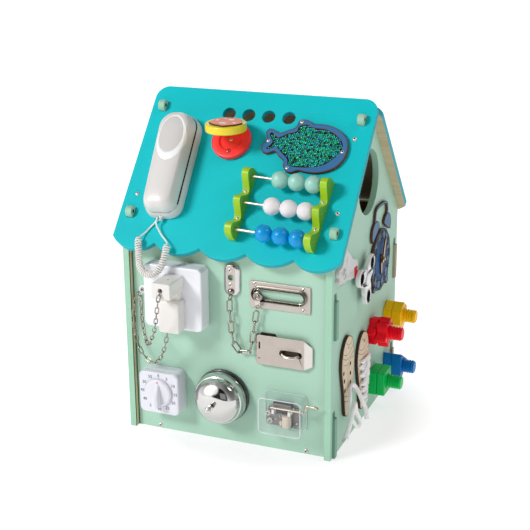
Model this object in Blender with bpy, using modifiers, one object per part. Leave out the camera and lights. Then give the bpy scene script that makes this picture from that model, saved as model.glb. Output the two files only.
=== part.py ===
"""Activity house: a plywood play house whose roof and walls carry small toys.

Plain construction model. Lengths in this file are millimetres and the
finished meshes are metres, +Z up. The origin is the centre of the base,
on the surface the house stands on; the front panel faces -Y and the wall
with the big nuts and bolts faces +X.
"""
import math

import bmesh
import bpy
from mathutils import Matrix, Vector

# ---------------------------------------------------------------- sizes (mm)
MM = 0.001
GAP = 0.3                 # clearance between pieces that touch
WIDTH = 300.0             # over the two gable walls
DEPTH = 300.0             # gable walls, front edge to back edge
PLY = 9.0                 # plywood thickness
RIDGE = 461.6             # top edge of the front roof board
SLOPE = math.radians(49.3)
ROOF_HALF = 162.6         # half the length of the roof boards
ROOF_VALLEY = 239.0       # down the slope to the notches between scallops
ROOF_LOW = 251.3          # down the slope to the scallops' lowest points
ROOF_CORNER = 19.0
PANEL_FACE = 141.0        # outer face of the front and back panels
PANEL_TOP = 282.4
WINDOW_R = 45.0
WINDOW_Z = 348.6
TENON_S = (33.0, 198.5)   # tenons through the roof, down the slope
TENON_HALF = 7.5
BEAD_R = 11.75
ROD_R = 1.8

CA, SA = math.cos(SLOPE), math.sin(SLOPE)
INNER = WIDTH / 2 - PLY   # inner face of the gable walls

for old in list(bpy.data.objects):
    bpy.data.objects.remove(old, do_unlink=True)


def new_collection(name):
    col = bpy.data.collections.new(name)
    bpy.context.scene.collection.children.link(col)
    return col


HOUSE = new_collection("activity_house")
WORK = new_collection("cutters")


def paint(name, rgb, rough, metal=0.0, clear=0.0):
    mat = bpy.data.materials.new(name)
    mat.use_nodes = True
    sh = mat.node_tree.nodes["Principled BSDF"]
    sh.inputs["Base Color"].default_value = (*rgb, 1.0)
    sh.inputs["Roughness"].default_value = rough
    sh.inputs["Metallic"].default_value = metal
    sh.inputs["Transmission Weight"].default_value = clear
    mat.diffuse_color = (*rgb, 1.0)
    return mat


MINT = paint("mint_paint", (0.44, 0.69, 0.56), 0.55)
TURQ = paint("turquoise_paint", (0.01, 0.50, 0.56), 0.5)
BIRCH = paint("raw_birch", (0.62, 0.50, 0.33), 0.65)
WHITE = paint("white_plastic", (0.80, 0.80, 0.79), 0.35)
IVORY = paint("ivory_plastic", (0.74, 0.73, 0.68), 0.4)
LIME = paint("lime_paint", (0.28, 0.56, 0.01), 0.45)
RED = paint("red_plastic", (0.62, 0.01, 0.02), 0.35)
YELLOW = paint("yellow_plastic", (0.82, 0.52, 0.01), 0.35)
BLUE = paint("blue_plastic", (0.01, 0.12, 0.45), 0.35)
GREEN = paint("green_plastic", (0.01, 0.33, 0.06), 0.35)
BEAD_MINT = paint("bead_mint", (0.36, 0.74, 0.62), 0.3)
BEAD_WHITE = paint("bead_white", (0.80, 0.76, 0.77), 0.3)
BEAD_BLUE = paint("bead_blue", (0.01, 0.26, 0.70), 0.3)
FISH_BLUE = paint("fish_blue", (0.10, 0.26, 0.48), 0.6)
CLOCK_BLUE = paint("clock_blue", (0.10, 0.24, 0.36), 0.6)
STEEL = paint("steel", (0.62, 0.58, 0.54), 0.3, 1.0)
CHROME = paint("chrome", (0.80, 0.80, 0.80), 0.08, 1.0)
BLACK = paint("black_enamel", (0.012, 0.012, 0.013), 0.3)
CLEAR = paint("clear_acrylic", (0.85, 0.95, 0.92), 0.05, 0.0, 0.9)
LACE = paint("white_lace", (0.80, 0.79, 0.75), 0.8)


# ------------------------------------------------------------ local frames
def frame(o, u, v, w):
    """Matrix from local millimetres (u, v, w) to world metres."""
    m = Matrix.Identity(4)
    for col, axis in enumerate((u, v, w)):
        for row in range(3):
            m[row][col] = axis[row] * MM
    for row in range(3):
        m[row][3] = o[row] * MM
    return m


WORLD = frame((0, 0, 0), (1, 0, 0), (0, 1, 0), (0, 0, 1))
FRONT = frame((0, -PANEL_FACE, 0), (1, 0, 0), (0, 0, 1), (0, -1, 0))
BACK = frame((0, PANEL_FACE, 0), (-1, 0, 0), (0, 0, 1), (0, 1, 0))
RIGHT = frame((WIDTH / 2, 0, 0), (0, 1, 0), (0, 0, 1), (1, 0, 0))
LEFT_IN = frame((-WIDTH / 2 + PLY, 0, 0), (0, 1, 0), (0, 0, 1), (1, 0, 0))
ROOF = frame((0, 0, RIDGE), (1, 0, 0), (0, CA, SA), (0, -SA, CA))
ROOF_B = frame((0, 0, RIDGE), (-1, 0, 0), (0, -CA, SA), (0, SA, CA))


def moved(fr, du, dv, dw=0.0, turn=0.0):
    return fr @ Matrix.Translation((du, dv, dw)) @ Matrix.Rotation(turn, 4, "Z")


def along_x(fr):
    """Frame whose third axis is the first axis of fr."""
    return fr @ Matrix(((0, 0, 1, 0), (1, 0, 0, 0), (0, 1, 0, 0), (0, 0, 0, 1)))


def world_mm(fr, p):
    return (fr @ Vector(p)) / MM


# ------------------------------------------------------------- mesh tools
def weld(me, dist=0.0005):
    bm = bmesh.new()
    bm.from_mesh(me)
    bmesh.ops.remove_doubles(bm, verts=bm.verts, dist=dist)
    bmesh.ops.dissolve_degenerate(bm, edges=bm.edges, dist=dist)
    bmesh.ops.recalc_face_normals(bm, faces=bm.faces)
    bm.to_mesh(me)
    bm.free()
    return me


def evaluated(ob):
    dg = bpy.context.evaluated_depsgraph_get()
    return bpy.data.meshes.new_from_object(ob.evaluated_get(dg))


def helper(name, data):
    ob = bpy.data.objects.new(name, data)
    ob.hide_render = True
    ob.display_type = "WIRE"
    WORK.objects.link(ob)
    return ob


def slab_mesh(loops, w0, w1, edge=0.0, res=1):
    """Flat outline with holes, w0 to w1 thick, edges rounded by edge."""
    cu = bpy.data.curves.new("outline", "CURVE")
    cu.dimensions = "2D"
    cu.fill_mode = "BOTH"
    cu.extrude = (w1 - w0) / 2 - edge
    if edge:
        cu.bevel_depth = edge
        cu.bevel_resolution = res
        cu.offset = -edge
    for loop in loops:
        sp = cu.splines.new("POLY")
        sp.points.add(len(loop) - 1)
        for pt, (a, b) in zip(sp.points, loop):
            pt.co = (a, b, 0.0, 1.0)
        sp.use_cyclic_u = True
    ob = helper("outline", cu)
    me = evaluated(ob)
    bpy.data.objects.remove(ob)
    bpy.data.curves.remove(cu)
    me.transform(Matrix.Translation((0, 0, (w0 + w1) / 2)))
    return weld(me)


def box_mesh(u0, u1, v0, v1, w0, w1, edge=0.0, seg=1):
    bm = bmesh.new()
    size = Matrix.Diagonal((u1 - u0, v1 - v0, w1 - w0, 1.0))
    place = Matrix.Translation(((u0 + u1) / 2, (v0 + v1) / 2, (w0 + w1) / 2))
    bmesh.ops.create_cube(bm, size=1.0, matrix=place @ size)
    if edge:
        bmesh.ops.bevel(bm, geom=bm.edges[:], offset=edge, segments=seg,
                        affect="EDGES", profile=0.5)
    me = bpy.data.meshes.new("box")
    bm.to_mesh(me)
    bm.free()
    return me


def rod_mesh(radius, w0, w1, seg=12):
    bm = bmesh.new()
    bmesh.ops.create_cone(bm, cap_ends=True, segments=seg, radius1=radius,
                          radius2=radius, depth=w1 - w0,
                          matrix=Matrix.Translation((0, 0, (w0 + w1) / 2)))
    me = bpy.data.meshes.new("rod")
    bm.to_mesh(me)
    bm.free()
    return me


def turned_mesh(profile, seg, closed=False):
    """Profile of (radius, height), turned about the third axis."""
    me = bpy.data.meshes.new("profile")
    n = len(profile)
    edges = [(i, i + 1) for i in range(n - 1)] + ([(n - 1, 0)] if closed else [])
    me.from_pydata([(r, 0.0, h) for r, h in profile], edges, [])
    ob = helper("profile", me)
    mod = ob.modifiers.new("turn", "SCREW")
    mod.axis = "Z"
    mod.angle = 2 * math.pi
    mod.steps = mod.render_steps = seg
    mod.use_merge_vertices = True
    mod.merge_threshold = 0.0001
    out = evaluated(ob)
    bpy.data.objects.remove(ob)
    bpy.data.meshes.remove(me)
    return weld(out)


def tube_mesh(points, radius, radii=None, res=2):
    cu = bpy.data.curves.new("route", "CURVE")
    cu.dimensions = "3D"
    cu.bevel_depth = radius
    cu.bevel_resolution = res
    cu.use_fill_caps = True
    sp = cu.splines.new("POLY")
    sp.points.add(len(points) - 1)
    for i, (pt, p) in enumerate(zip(sp.points, points)):
        pt.co = (*p, 1.0)
        pt.radius = radii[i] if radii else 1.0
    ob = helper("route", cu)
    me = evaluated(ob)
    bpy.data.objects.remove(ob)
    bpy.data.curves.remove(cu)
    return weld(me)


def combine(first, others, operation):
    ob = helper("base", first)
    cutters = []
    for i, me in enumerate(others):
        c = helper("tool", me)
        cutters.append(c)
        mod = ob.modifiers.new("join", "BOOLEAN")
        mod.operation = operation
        mod.solver = "EXACT"
        mod.object = c
    out = evaluated(ob)
    for o in [ob] + cutters:
        bpy.data.objects.remove(o)
    return weld(out)


def fuse(first, *others):
    return combine(first, others, "UNION")


def cut(first, *others):
    return combine(first, others, "DIFFERENCE")


def piece(name, me, fr, mat, pivot=None, smooth=None):
    """One named piece; pivot is its joint point in world millimetres."""
    me.name = name
    me.transform(fr)
    here = Vector(pivot) * MM if pivot is not None else Vector((0, 0, 0))
    me.transform(Matrix.Translation(-here))
    me.materials.clear()
    own = mat.copy()
    own.name = name
    me.materials.append(own)
    ob = bpy.data.objects.new(name, me)
    ob.location = here
    HOUSE.objects.link(ob)
    if smooth is not None:
        me.shade_smooth()
        me.set_sharp_from_angle(angle=math.radians(smooth))
    return ob


# ------------------------------------------------------------- 2D outlines
def circle(cx, cy, r, n):
    return [(cx + r * math.cos(2 * math.pi * i / n),
             cy + r * math.sin(2 * math.pi * i / n)) for i in range(n)]


def rect(a0, a1, b0, b1):
    return [(a0, b0), (a1, b0), (a1, b1), (a0, b1)]


def rounded(poly, radius, n=3):
    """Polygon with rounded corners; radius may be one value or one each."""
    out = []
    m = len(poly)
    for i, p in enumerate(poly):
        r = radius[i] if isinstance(radius, (list, tuple)) else radius
        p0, p1, p2 = Vector(poly[i - 1]), Vector(p), Vector(poly[(i + 1) % m])
        a, b = (p0 - p1).normalized(), (p2 - p1).normalized()
        half = math.acos(max(-1.0, min(1.0, a.dot(b)))) / 2
        if r <= 0 or half > 1.5:
            out.append(tuple(p1))
            continue
        reach = r / math.tan(half)
        c = p1 + (a + b).normalized() * (r / math.sin(half))
        s, e = p1 + a * reach - c, p1 + b * reach - c
        t0 = math.atan2(s.y, s.x)
        dt = math.atan2(e.y, e.x) - t0
        dt = (dt + math.pi) % (2 * math.pi) - math.pi
        out += [(c.x + r * math.cos(t0 + dt * k / n),
                 c.y + r * math.sin(t0 + dt * k / n)) for k in range(n + 1)]
    return out


def stadium(a0, a1, b0, b1, n=6):
    r = min(a1 - a0, b1 - b0) / 2 - 0.001
    return rounded(rect(a0, a1, b0, b1), r, n)


def smooth_loop(ctrl, per=3):
    """Closed smooth curve through the control points."""
    out, m = [], len(ctrl)
    for i in range(m):
        p = [Vector(ctrl[(i + k) % m]) for k in (-1, 0, 1, 2)]
        for j in range(per):
            t = j / per
            q = 0.5 * ((2 * p[1]) + (p[2] - p[0]) * t
                       + (2 * p[0] - 5 * p[1] + 4 * p[2] - p[3]) * t * t
                       + (3 * p[1] - p[0] - 3 * p[2] + p[3]) * t ** 3)
            out.append((q.x, q.y))
    return out


def smooth_path(ctrl, step):
    """Open smooth curve through the route's points, evenly spaced."""
    pts = [Vector(c[:3]) for c in ctrl]
    fine = []
    for i in range(len(pts) - 1):
        p = [pts[max(i - 1, 0)], pts[i], pts[i + 1], pts[min(i + 2, len(pts) - 1)]]
        for j in range(20):
            t = j / 20
            fine.append(0.5 * ((2 * p[1]) + (p[2] - p[0]) * t
                        + (2 * p[0] - 5 * p[1] + 4 * p[2] - p[3]) * t * t
                        + (3 * p[1] - p[0] - 3 * p[2] + p[3]) * t ** 3))
    fine.append(pts[-1])
    total = sum((b - a).length for a, b in zip(fine, fine[1:]))
    n = max(2, round(total / step))
    out, want, run = [fine[0]], total / n, 0.0
    for a, b in zip(fine, fine[1:]):
        seg = (b - a).length
        while run + seg >= want * len(out) and len(out) < n:
            out.append(a.lerp(b, (want * len(out) - run) / max(seg, 1e-9)))
        run += seg
    out.append(fine[-1])
    return out


# ------------------------------------------------------------------- walls
def on_slope(side, s, h):
    """(y, z) of a point s down the roof's outer face and h above it."""
    return side * (s * CA + h * SA), RIDGE - s * SA + h * CA


def gable_outline():
    under = -PLY - GAP
    eave = RIDGE - DEPTH / 2 * SA / CA + under / CA
    pf = PANEL_FACE
    pts = [(-DEPTH / 2, 0), (-pf - 0.4, 0), (-pf - 0.4, 68), (-pf + PLY + 0.4, 68),
           (-pf + PLY + 0.4, 0), (pf - PLY - 0.4, 0), (pf - PLY - 0.4, 63),
           (pf + 0.4, 63), (pf + 0.4, 0), (DEPTH / 2, 0), (DEPTH / 2, eave)]
    up = []
    for s0 in sorted(TENON_S, reverse=True):
        up.append((s0 + TENON_HALF, under))
        up += [(s0 + TENON_HALF * math.cos(math.pi * k / 6),
                3.0 + TENON_HALF * math.sin(math.pi * k / 6)) for k in range(7)]
        up.append((s0 - TENON_HALF, under))
    pts += [on_slope(1, s, h) for s, h in up]
    pts.append((0.0, RIDGE + under / CA))
    pts += [on_slope(-1, s, h) for s, h in reversed(up)]
    pts.append((-DEPTH / 2, eave))
    return pts


def gable_holes():
    pf = PANEL_FACE
    holes = [circle(0, WINDOW_Z, WINDOW_R, 28),
             rect(-pf - 0.4, -pf + PLY + 0.4, 170, 234),
             rect(pf - PLY - 0.4, pf + 0.4, 168, 230)]
    for side in (-1, 1):
        for s0 in TENON_S:
            cy, cz = on_slope(side, s0, 4.0)
            holes.append(circle(cy, cz, 2.6, 8))
    return holes


gable = [gable_outline()] + gable_holes()
piece("right_wall", slab_mesh(gable, -PLY, 0), RIGHT, MINT)
piece("left_wall", slab_mesh(gable, -PLY, 0), LEFT_IN, MINT)


def panel_outline(low, high0, high1):
    """Panel between the gable walls with two tabs through each of them."""
    a, b = INNER - GAP, WIDTH / 2 + 3.5
    right = [(b, 0), (b, low), (a, low), (a, high0), (b, high0), (b, high1),
             (a, high1), (a, PANEL_TOP)]
    return right + [(-x, z) for x, z in reversed(right)]


piece("front_panel", slab_mesh([panel_outline(58, 170.3, 224)], -PLY, 0), FRONT, MINT)
piece("back_panel", slab_mesh([panel_outline(53, 168.3, 220)], -PLY, 0), BACK, MINT)
piece("floor_panel", box_mesh(-INNER + GAP, INNER - GAP,
                              -PANEL_FACE + PLY + GAP, PANEL_FACE - PLY - GAP, 0, PLY),
      WORLD, BIRCH)


# -------------------------------------------------------------------- roof
def roof_outline(top):
    h, c = ROOF_HALF, ROOF_CORNER
    pts = [(-h, -235.0)]
    pts += [(-h + c - c * math.cos(t), -top - c + c * math.sin(t))
            for t in [math.pi / 2 * k / 5 for k in range(6)]]
    pts += [(h - c + c * math.sin(t), -top - c + c * math.cos(t))
            for t in [math.pi / 2 * k / 5 for k in range(6)]]
    marks = [(h, 235.0), (98.7, ROOF_VALLEY), (32.6, ROOF_VALLEY),
             (-33.0, ROOF_VALLEY), (-98.9, ROOF_VALLEY), (-h, 235.0)]
    for (xa, sa), (xb, sb) in zip(marks, marks[1:]):
        mid, drop = (sa + sb) / 2, ROOF_LOW - (sa + sb) / 2
        half = (xa - xb) / 2
        r = (half * half + drop * drop) / (2 * drop)
        phi = math.asin(half / r)
        for k in range(9):
            t = phi - 2 * phi * k / 9
            lin = sa + (sb - sa) * k / 9 - mid
            pts.append(((xa + xb) / 2 + r * math.sin(t),
                        -(mid + lin + r * math.cos(t) - (r - drop))))
    return pts


def tenon_slots():
    a, b = INNER - 0.4, WIDTH / 2 + 0.4
    return [rect(x0, x1, -s0 - TENON_HALF - 0.4, -s0 + TENON_HALF + 0.4)
            for s0 in TENON_S for x0, x1 in ((-b, -a), (a, b))]


round_holes = [circle(x, -37.0, 9.3, 16) for x in (-44.6, -15.6, 13.6, 43.0)]
piece("roof_front", slab_mesh([roof_outline(0.0)] + tenon_slots() + round_holes, -PLY, 0),
      ROOF, TURQ)
# the back board starts under the front board's top edge
piece("roof_back", slab_mesh([roof_outline(10.9)] + tenon_slots(), -PLY, 0), ROOF_B, TURQ)

# ------------------------------------------------------------------- phone
PHONE = moved(ROOF, -101.0, -127.0, 0, math.radians(3.4))
SEAM = 15.5
cradle_low = rounded([(-29.6, 77), (29.6, 77), (26.4, -77), (-26.4, -77)],
                     [25, 25, 18, 18], 5)
piece("phone_cradle", slab_mesh([cradle_low], GAP, SEAM, 4.0, 0), PHONE, WHITE, smooth=35)
handset_loop = rounded([(-26.6, 73.5), (26.6, 73.5), (23.4, -75), (-23.4, -75)],
                       [23, 23, 15, 15], 5)
piece("phone_handset", slab_mesh([handset_loop], SEAM + GAP, 37.0, 6.0, 1), PHONE, WHITE,
      pivot=world_mm(PHONE, (0, 0, SEAM + GAP)), smooth=50)


def on_roof(x, s, h):
    return x, -s * CA - h * SA, RIDGE - s * SA + h * CA


# curly cord: thin leads at the two ends, one fat tube where it is coiled
CORD_LEAD, CORD_COIL = 1.5, 5.2
lead_a = [on_roof(*q) for q in ((-101.6, 205.6, 5.5), (-104.0, 209.6, 3.4),
                                (-109.4, 218.1, 2.8), (-114.1, 226.6, 3.2),
                                (-117.4, 232.6, 4.6))]
coil = [(-118.6, -160.8, 285.8), (-117.0, -166.0, 278.0), (-114.0, -171.0, 266.0),
        (-111.0, -176.0, 255.4), (-104.9, -180.0, 247.7), (-94.3, -182.0, 244.6),
        (-83.8, -182.0, 248.8), (-77.1, -180.0, 258.0), (-74.1, -176.0, 268.2),
        (-73.8, -170.6, 277.8), (-74.4, -166.4, 283.0)]
lead_b = [on_roof(*q) for q in ((-75.2, 241.0, 8.8), (-79.6, 236.3, 7.4), (-87.9, 229.3, 6.0),
                                (-94.8, 222.0, 6.4), (-99.6, 214.4, 8.4),
                                (-98.8, 207.6, 11.5))]
route = smooth_path(lead_a + coil + lead_b, 4.6)
first, last = Vector(coil[0]), Vector(coil[-1])
ia = min(range(len(route)), key=lambda i: (route[i] - first).length)
ib = min(range(len(route)), key=lambda i: (route[i] - last).length)
fat = [CORD_COIL / CORD_LEAD if ia <= i <= ib else 1.0 for i in range(len(route))]
piece("phone_cord", tube_mesh(route, CORD_LEAD, fat), WORLD, WHITE, smooth=50)

# ---------------------------------------------------------------- castanet
CAST = moved(ROOF, -28.0, -80.0)
shell = turned_mesh([(0, 5.2), (15.5, 5.2), (17.0, 8.0), (26.4, 8.0), (28.0, 6.4),
                     (28.0, 2.0), (26.5, GAP), (0, GAP)], 28)
button = turned_mesh([(0, 10.4), (2.6, 9.6), (3.9, 7.0), (3.6, 4.0), (0, 4.0)], 10)
button.transform(Matrix.Translation((1.0, -18.2, 0)))
piece("castanet_base", fuse(shell, button), CAST, RED, smooth=40)
LID_OPEN = math.radians(46.0)
hinge_at = (0.0, 20.5, 8.6)
LID = CAST @ Matrix.Translation(hinge_at) @ Matrix.Rotation(-LID_OPEN, 4, "X")
piece("castanet_lid", turned_mesh([(0, 11.6), (26.4, 11.6), (28.0, 10.0), (28.0, 2.0),
                                   (26.4, 0.4), (17.0, 0.4), (15.5, 3.4), (0, 3.4)], 28),
      LID @ Matrix.Translation((0, -28.0, 0)), YELLOW,
      pivot=world_mm(CAST, hinge_at), smooth=40)

# ------------------------------------------------------------ sequin fish
fish = [(17, 86), (19, 92), (27, 95), (37, 91), (44, 97), (53, 104), (54, 111),
        (59, 118), (67, 120), (76, 116), (88, 117.5), (104, 117), (120, 111),
        (131, 101), (136.5, 86), (135, 70), (128, 59), (113, 49), (97, 45.5),
        (82, 45.5), (77, 42.5), (69, 40), (61, 43), (58, 53), (48, 58), (38, 63),
        (30, 59), (22, 58), (18.5, 64), (22.5, 74), (18, 80)]
fish_loop = smooth_loop([(x, -s) for x, s in fish], 2)
piece("fish_panel", slab_mesh([fish_loop], GAP, 5.0), ROOF, FISH_BLUE)

# ------------------------------------------------------------------ abacus
ABACUS = moved(ROOF, 68.2, -176.5, 0, math.radians(-2.4))
ABACUS_X = along_x(ABACUS)
ROD_V = (38.5, 0.0, -39.0)
ROD_H = 16.5
SPAN = (-50.2, 49.1)      # inner faces of the two brackets
BRACKET = 10.0


def bracket_outline():
    top = [(51.0, GAP), (51.6, 8.0), (50.6, 16.0), (47.6, 23.0), (43.5, 27.2)]
    wave = []
    for a, b in zip(ROD_V, ROD_V[1:]):
        for k in range(8):
            wave.append((a + (b - a) * k / 8,
                         18.4 + 10.2 * math.cos(2 * math.pi * k / 8)))
    wave.append((ROD_V[2], 28.6))
    end = [(-43.8, 27.2), (-47.4, 22.5), (-49.6, 15.0), (-50.0, 7.0), (-49.2, GAP)]
    return top + wave + end


bracket = [bracket_outline()] + [circle(v, ROD_H, ROD_R + GAP, 8) for v in ROD_V]
piece("abacus_bracket_left", slab_mesh(bracket, SPAN[0] - BRACKET, SPAN[0]), ABACUS_X, LIME)
piece("abacus_bracket_right", slab_mesh(bracket, SPAN[1], SPAN[1] + BRACKET), ABACUS_X, LIME)
half = math.sqrt(BEAD_R ** 2 - (ROD_R + 0.5) ** 2)
bead = [(ROD_R + 0.5, half)]
bead += [(BEAD_R * math.cos(t), BEAD_R * math.sin(t))
         for t in [math.radians(a) for a in (62, 42, 21, 0, -21, -42, -62)]]
bead.append((ROD_R + 0.5, -half))
for row, v, mat in zip(("top", "middle", "bottom"), ROD_V, (BEAD_MINT, BEAD_WHITE, BEAD_BLUE)):
    line = ABACUS_X @ Matrix.Translation((v, ROD_H, 0))
    piece("abacus_rod_" + row, rod_mesh(ROD_R, SPAN[0] - BRACKET + 0.6,
                                        SPAN[1] + BRACKET - 0.6, 8), line, STEEL, smooth=50)
    for n, name in enumerate(("right", "middle", "left")):
        w = SPAN[1] - GAP - half - n * (2 * half + GAP)
        at = line @ Matrix.Translation((0, 0, w))
        piece("bead_%s_%s" % (row, name), turned_mesh(bead, 14, closed=True), at, mat,
              pivot=world_mm(at, (0, 0, 0)), smooth=60)

# --------------------------------------------------------- socket and plug
SOCKET = rounded(rect(-111.5, -26.0, 165.5, 254.0), 7.0, 3)
SOCKET_OUT = 26.0
PINS = ((-74.0, 196.0), (-58.0, 196.0))
pin_holes = []
for x, z in PINS:
    hole = rod_mesh(3.0, 9.0, 40.0, 10)
    hole.transform(Matrix.Translation((x, z, 0)))
    pin_holes.append(hole)
piece("socket_box", cut(slab_mesh([SOCKET], GAP, SOCKET_OUT, 2.5, 0), *pin_holes), FRONT, WHITE,
      smooth=35)
body = slab_mesh([rounded(rect(-80.5, -50.5, 167.0, 211.5), 3.0, 2)],
                 SOCKET_OUT + GAP, 46.0, 2.0, 0)
neck = box_mesh(-75.0, -54.0, 205.0, 228.0, SOCKET_OUT + GAP, 38.0)
grip = slab_mesh([rounded(rect(-78.2, -51.0, 222.6, 244.0), 2.0, 2)],
                 SOCKET_OUT + GAP, 68.0, 1.2, 0)
pins = []
for x, z in PINS:
    pin = rod_mesh(2.4, 11.0, 30.0, 10)
    pin.transform(Matrix.Translation((x, z, 0)))
    pins.append(pin)
eye = rod_mesh(3.4, 58.0, 90.0, 10)
eye.transform(Matrix.Translation((-65.0, 234.2, 0)))
piece("plug", cut(fuse(body, neck, grip, *pins), eye), FRONT, IVORY,
      pivot=world_mm(FRONT, (-66.0, 206.0, SOCKET_OUT + GAP)), smooth=35)
hang = [(-65.0, -202.5, 234.2), (-65.0, -210.8, 234.2), (-65.6, -213.0, 229.5),
        (-66.8, -213.2, 220.0), (-69.2, -212.0, 206.0), (-73.7, -207.5, 189.5),
        (-79.8, -201.0, 173.7), (-88.5, -193.0, 158.0), (-95.0, -187.0, 148.0),
        (-101.5, -181.5, 145.0), (-109.4, -173.0, 154.6), (-116.4, -165.0, 171.1),
        (-121.4, -157.5, 189.7), (-124.0, -152.0, 201.5), (-127.6, -149.8, 205.4),
        (-131.6, -149.6, 198.0), (-135.6, -150.4, 184.0), (-137.2, -151.0, 163.0),
        (-135.0, -152.0, 147.4), (-131.0, -154.0, 132.4), (-122.9, -157.0, 118.3),
        (-112.3, -160.0, 111.7), (-101.5, -163.0, 109.6), (-90.8, -166.0, 118.0),
        (-83.2, -170.0, 132.5), (-76.8, -174.0, 148.1), (-72.4, -177.0, 164.4)]
piece("plug_chain", tube_mesh(smooth_path(hang, 9.0), 2.0, res=1), WORLD, STEEL, smooth=50)

# ------------------------------------------------------------------- timer
TIMER_C = (-94.5, 66.2)
TIMER_OUT = 26.0
cx, cz = TIMER_C
piece("timer_body", slab_mesh([rounded(rect(cx - 30, cx + 30, cz - 30.7, cz + 30.7), 8.0, 3)],
                              GAP, TIMER_OUT, 3.0, 0), FRONT, WHITE, smooth=35)
DIAL = moved(FRONT, cx + 0.3, cz + 1.6, TIMER_OUT + GAP)
disc = turned_mesh([(0, 4.2), (17.5, 4.2), (20.0, 2.2), (20.0, 0), (0, 0)], 24)
bar = slab_mesh([rounded(rect(-5.2, 5.2, -18.5, 16.5), 4.8, 3)], 2.0, 15.5, 1.5, 0)
piece("timer_dial", fuse(disc, bar), DIAL, WHITE, pivot=world_mm(DIAL, (0, 0, 0)), smooth=35)

# -------------------------------------------------------------------- bell
BELL = moved(FRONT, -7.7, 68.0)
piece("bell_base", turned_mesh([(0, 31.0), (2.7, 31.0), (2.7, 38.6), (5.0, 38.6),
                                (5.0, 9.0), (35.0, 9.0), (38.3, 6.0), (38.3, GAP),
                                (0, GAP)], 28), BELL, BLACK, smooth=35)
piece("bell_dome", turned_mesh([(3.2, 40.8), (11.0, 40.2), (21.4, 37.0), (29.8, 30.8),
                                (34.8, 22.4), (36.4, 14.5), (37.4, 11.2), (36.2, 11.2),
                                (35.2, 14.5), (33.6, 22.0), (28.9, 29.9), (20.8, 35.8),
                                (10.8, 39.0), (6.0, 39.5), (3.2, 39.5)], 28, closed=True),
      BELL, CHROME, smooth=40)
piece("bell_button", turned_mesh([(0, 57.0), (3.2, 56.2), (4.3, 53.6), (3.6, 51.0),
                                  (2.2, 49.4), (2.2, 47.0), (3.6, 45.6), (3.6, 44.2),
                                  (2.3, 43.6), (2.3, 34.2), (0, 34.2)], 14),
      BELL, CHROME, pivot=world_mm(BELL, (0, 0, 57.0)), smooth=60)

# -------------------------------------------------------------- door chain
keeper = [stadium(-3.8, 19.8, 213.8, 261.2), circle(7.6, 241.4, 4.2, 12)]
piece("chain_keeper", slab_mesh(keeper, GAP, 5.2, 0.0), FRONT, STEEL)
TRACK_Z = 223.4
plate = slab_mesh([rounded(rect(33.3, 118.3, 203.0, 239.8), 1.5, 1),
                   stadium(41.3, 112.0, TRACK_Z - 6.0, TRACK_Z + 6.0)], GAP, 2.2)
rail = slab_mesh([stadium(36.0, 114.0, TRACK_Z - 11.0, TRACK_Z + 11.0),
                  stadium(41.5, 111.8, TRACK_Z - 5.8, TRACK_Z + 5.8)], 1.6, 8.0)
piece("chain_track", fuse(plate, rail), FRONT, STEEL)
SLIDE_X, SLIDE_Z = 47.4, 221.6
knob = turned_mesh([(0, 10.8), (6.2, 10.8), (6.8, 10.0), (6.8, 8.4), (3.5, 8.3),
                    (3.5, 0.7), (0, 0.7)], 16)
tongue = slab_mesh([rounded(rect(-3.6, 3.6, -17.6, -2.0), 3.0, 2),
                    circle(0, -14.0, 1.5, 8)], 8.6, 10.2)
SLIDER = moved(FRONT, SLIDE_X, SLIDE_Z)
piece("chain_slider", fuse(knob, tongue), SLIDER, STEEL,
      pivot=world_mm(SLIDER, (0, 0, 8.4)), smooth=35)
links = [(6.8, -149.4, 210.4), (7.0, -149.4, 194.1), (8.4, -149.4, 175.8),
         (10.0, -149.4, 158.8), (14.0, -149.4, 144.2), (20.0, -149.4, 139.6),
         (29.0, -149.4, 138.8), (35.6, -149.4, 141.6), (38.4, -149.4, 153.0),
         (41.0, -149.4, 173.0), (43.6, -149.6, 189.0), (45.4, -150.0, 200.2)]
piece("door_chain", tube_mesh(smooth_path(links, 8.0), 3.0, res=1), WORLD, STEEL, smooth=50)

# -------------------------------------------------------------------- hasp
HASP_X, HASP_W = 44.4, 3.4       # hinge pin
HASP_Z = (125.0, 166.8)
leaf = slab_mesh([rounded(rect(44.6, 111.4, *HASP_Z), [1.5, 0, 0, 1.5], 1),
                  stadium(76.6, 108.4, 140.2, 149.6)], 5.0, 6.8)
lip = slab_mesh([[(0, HASP_Z[0]), (12.0, HASP_Z[0] + 5.0), (12.0, HASP_Z[1] - 10.0),
                  (0, HASP_Z[1])]], -1.7, 0.0)
lip.transform(Matrix.Translation((110.6, 0, 6.7)) @ Matrix.Rotation(math.radians(18), 4, "Y"))
knuckle = rod_mesh(2.6, -9.0, 9.0, 12)
knuckle.transform(Matrix.Translation((HASP_X, 145.5, HASP_W))
                  @ Matrix.Rotation(math.pi / 2, 4, "X"))
piece("hasp_flap", fuse(leaf, lip, knuckle), FRONT, STEEL,
      pivot=world_mm(FRONT, (HASP_X, 145.5, HASP_W)), smooth=30)
base = slab_mesh([rounded(rect(77.0, 110.0, 133.0, 157.0), 3.0, 2)], GAP, 1.9)
bow = [(82.4, 144.9, 1.0), (82.4, 144.9, 10.0)]
bow += [(93.3 - 10.9 * math.cos(t), 144.9, 10.0 + 8.6 * math.sin(t))
        for t in [math.pi * k / 8 for k in range(1, 8)]]
bow += [(104.2, 144.9, 10.0), (104.2, 144.9, 1.0)]
piece("hasp_staple", fuse(base, tube_mesh(bow, 1.9, res=1)), FRONT, STEEL, smooth=50)

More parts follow.
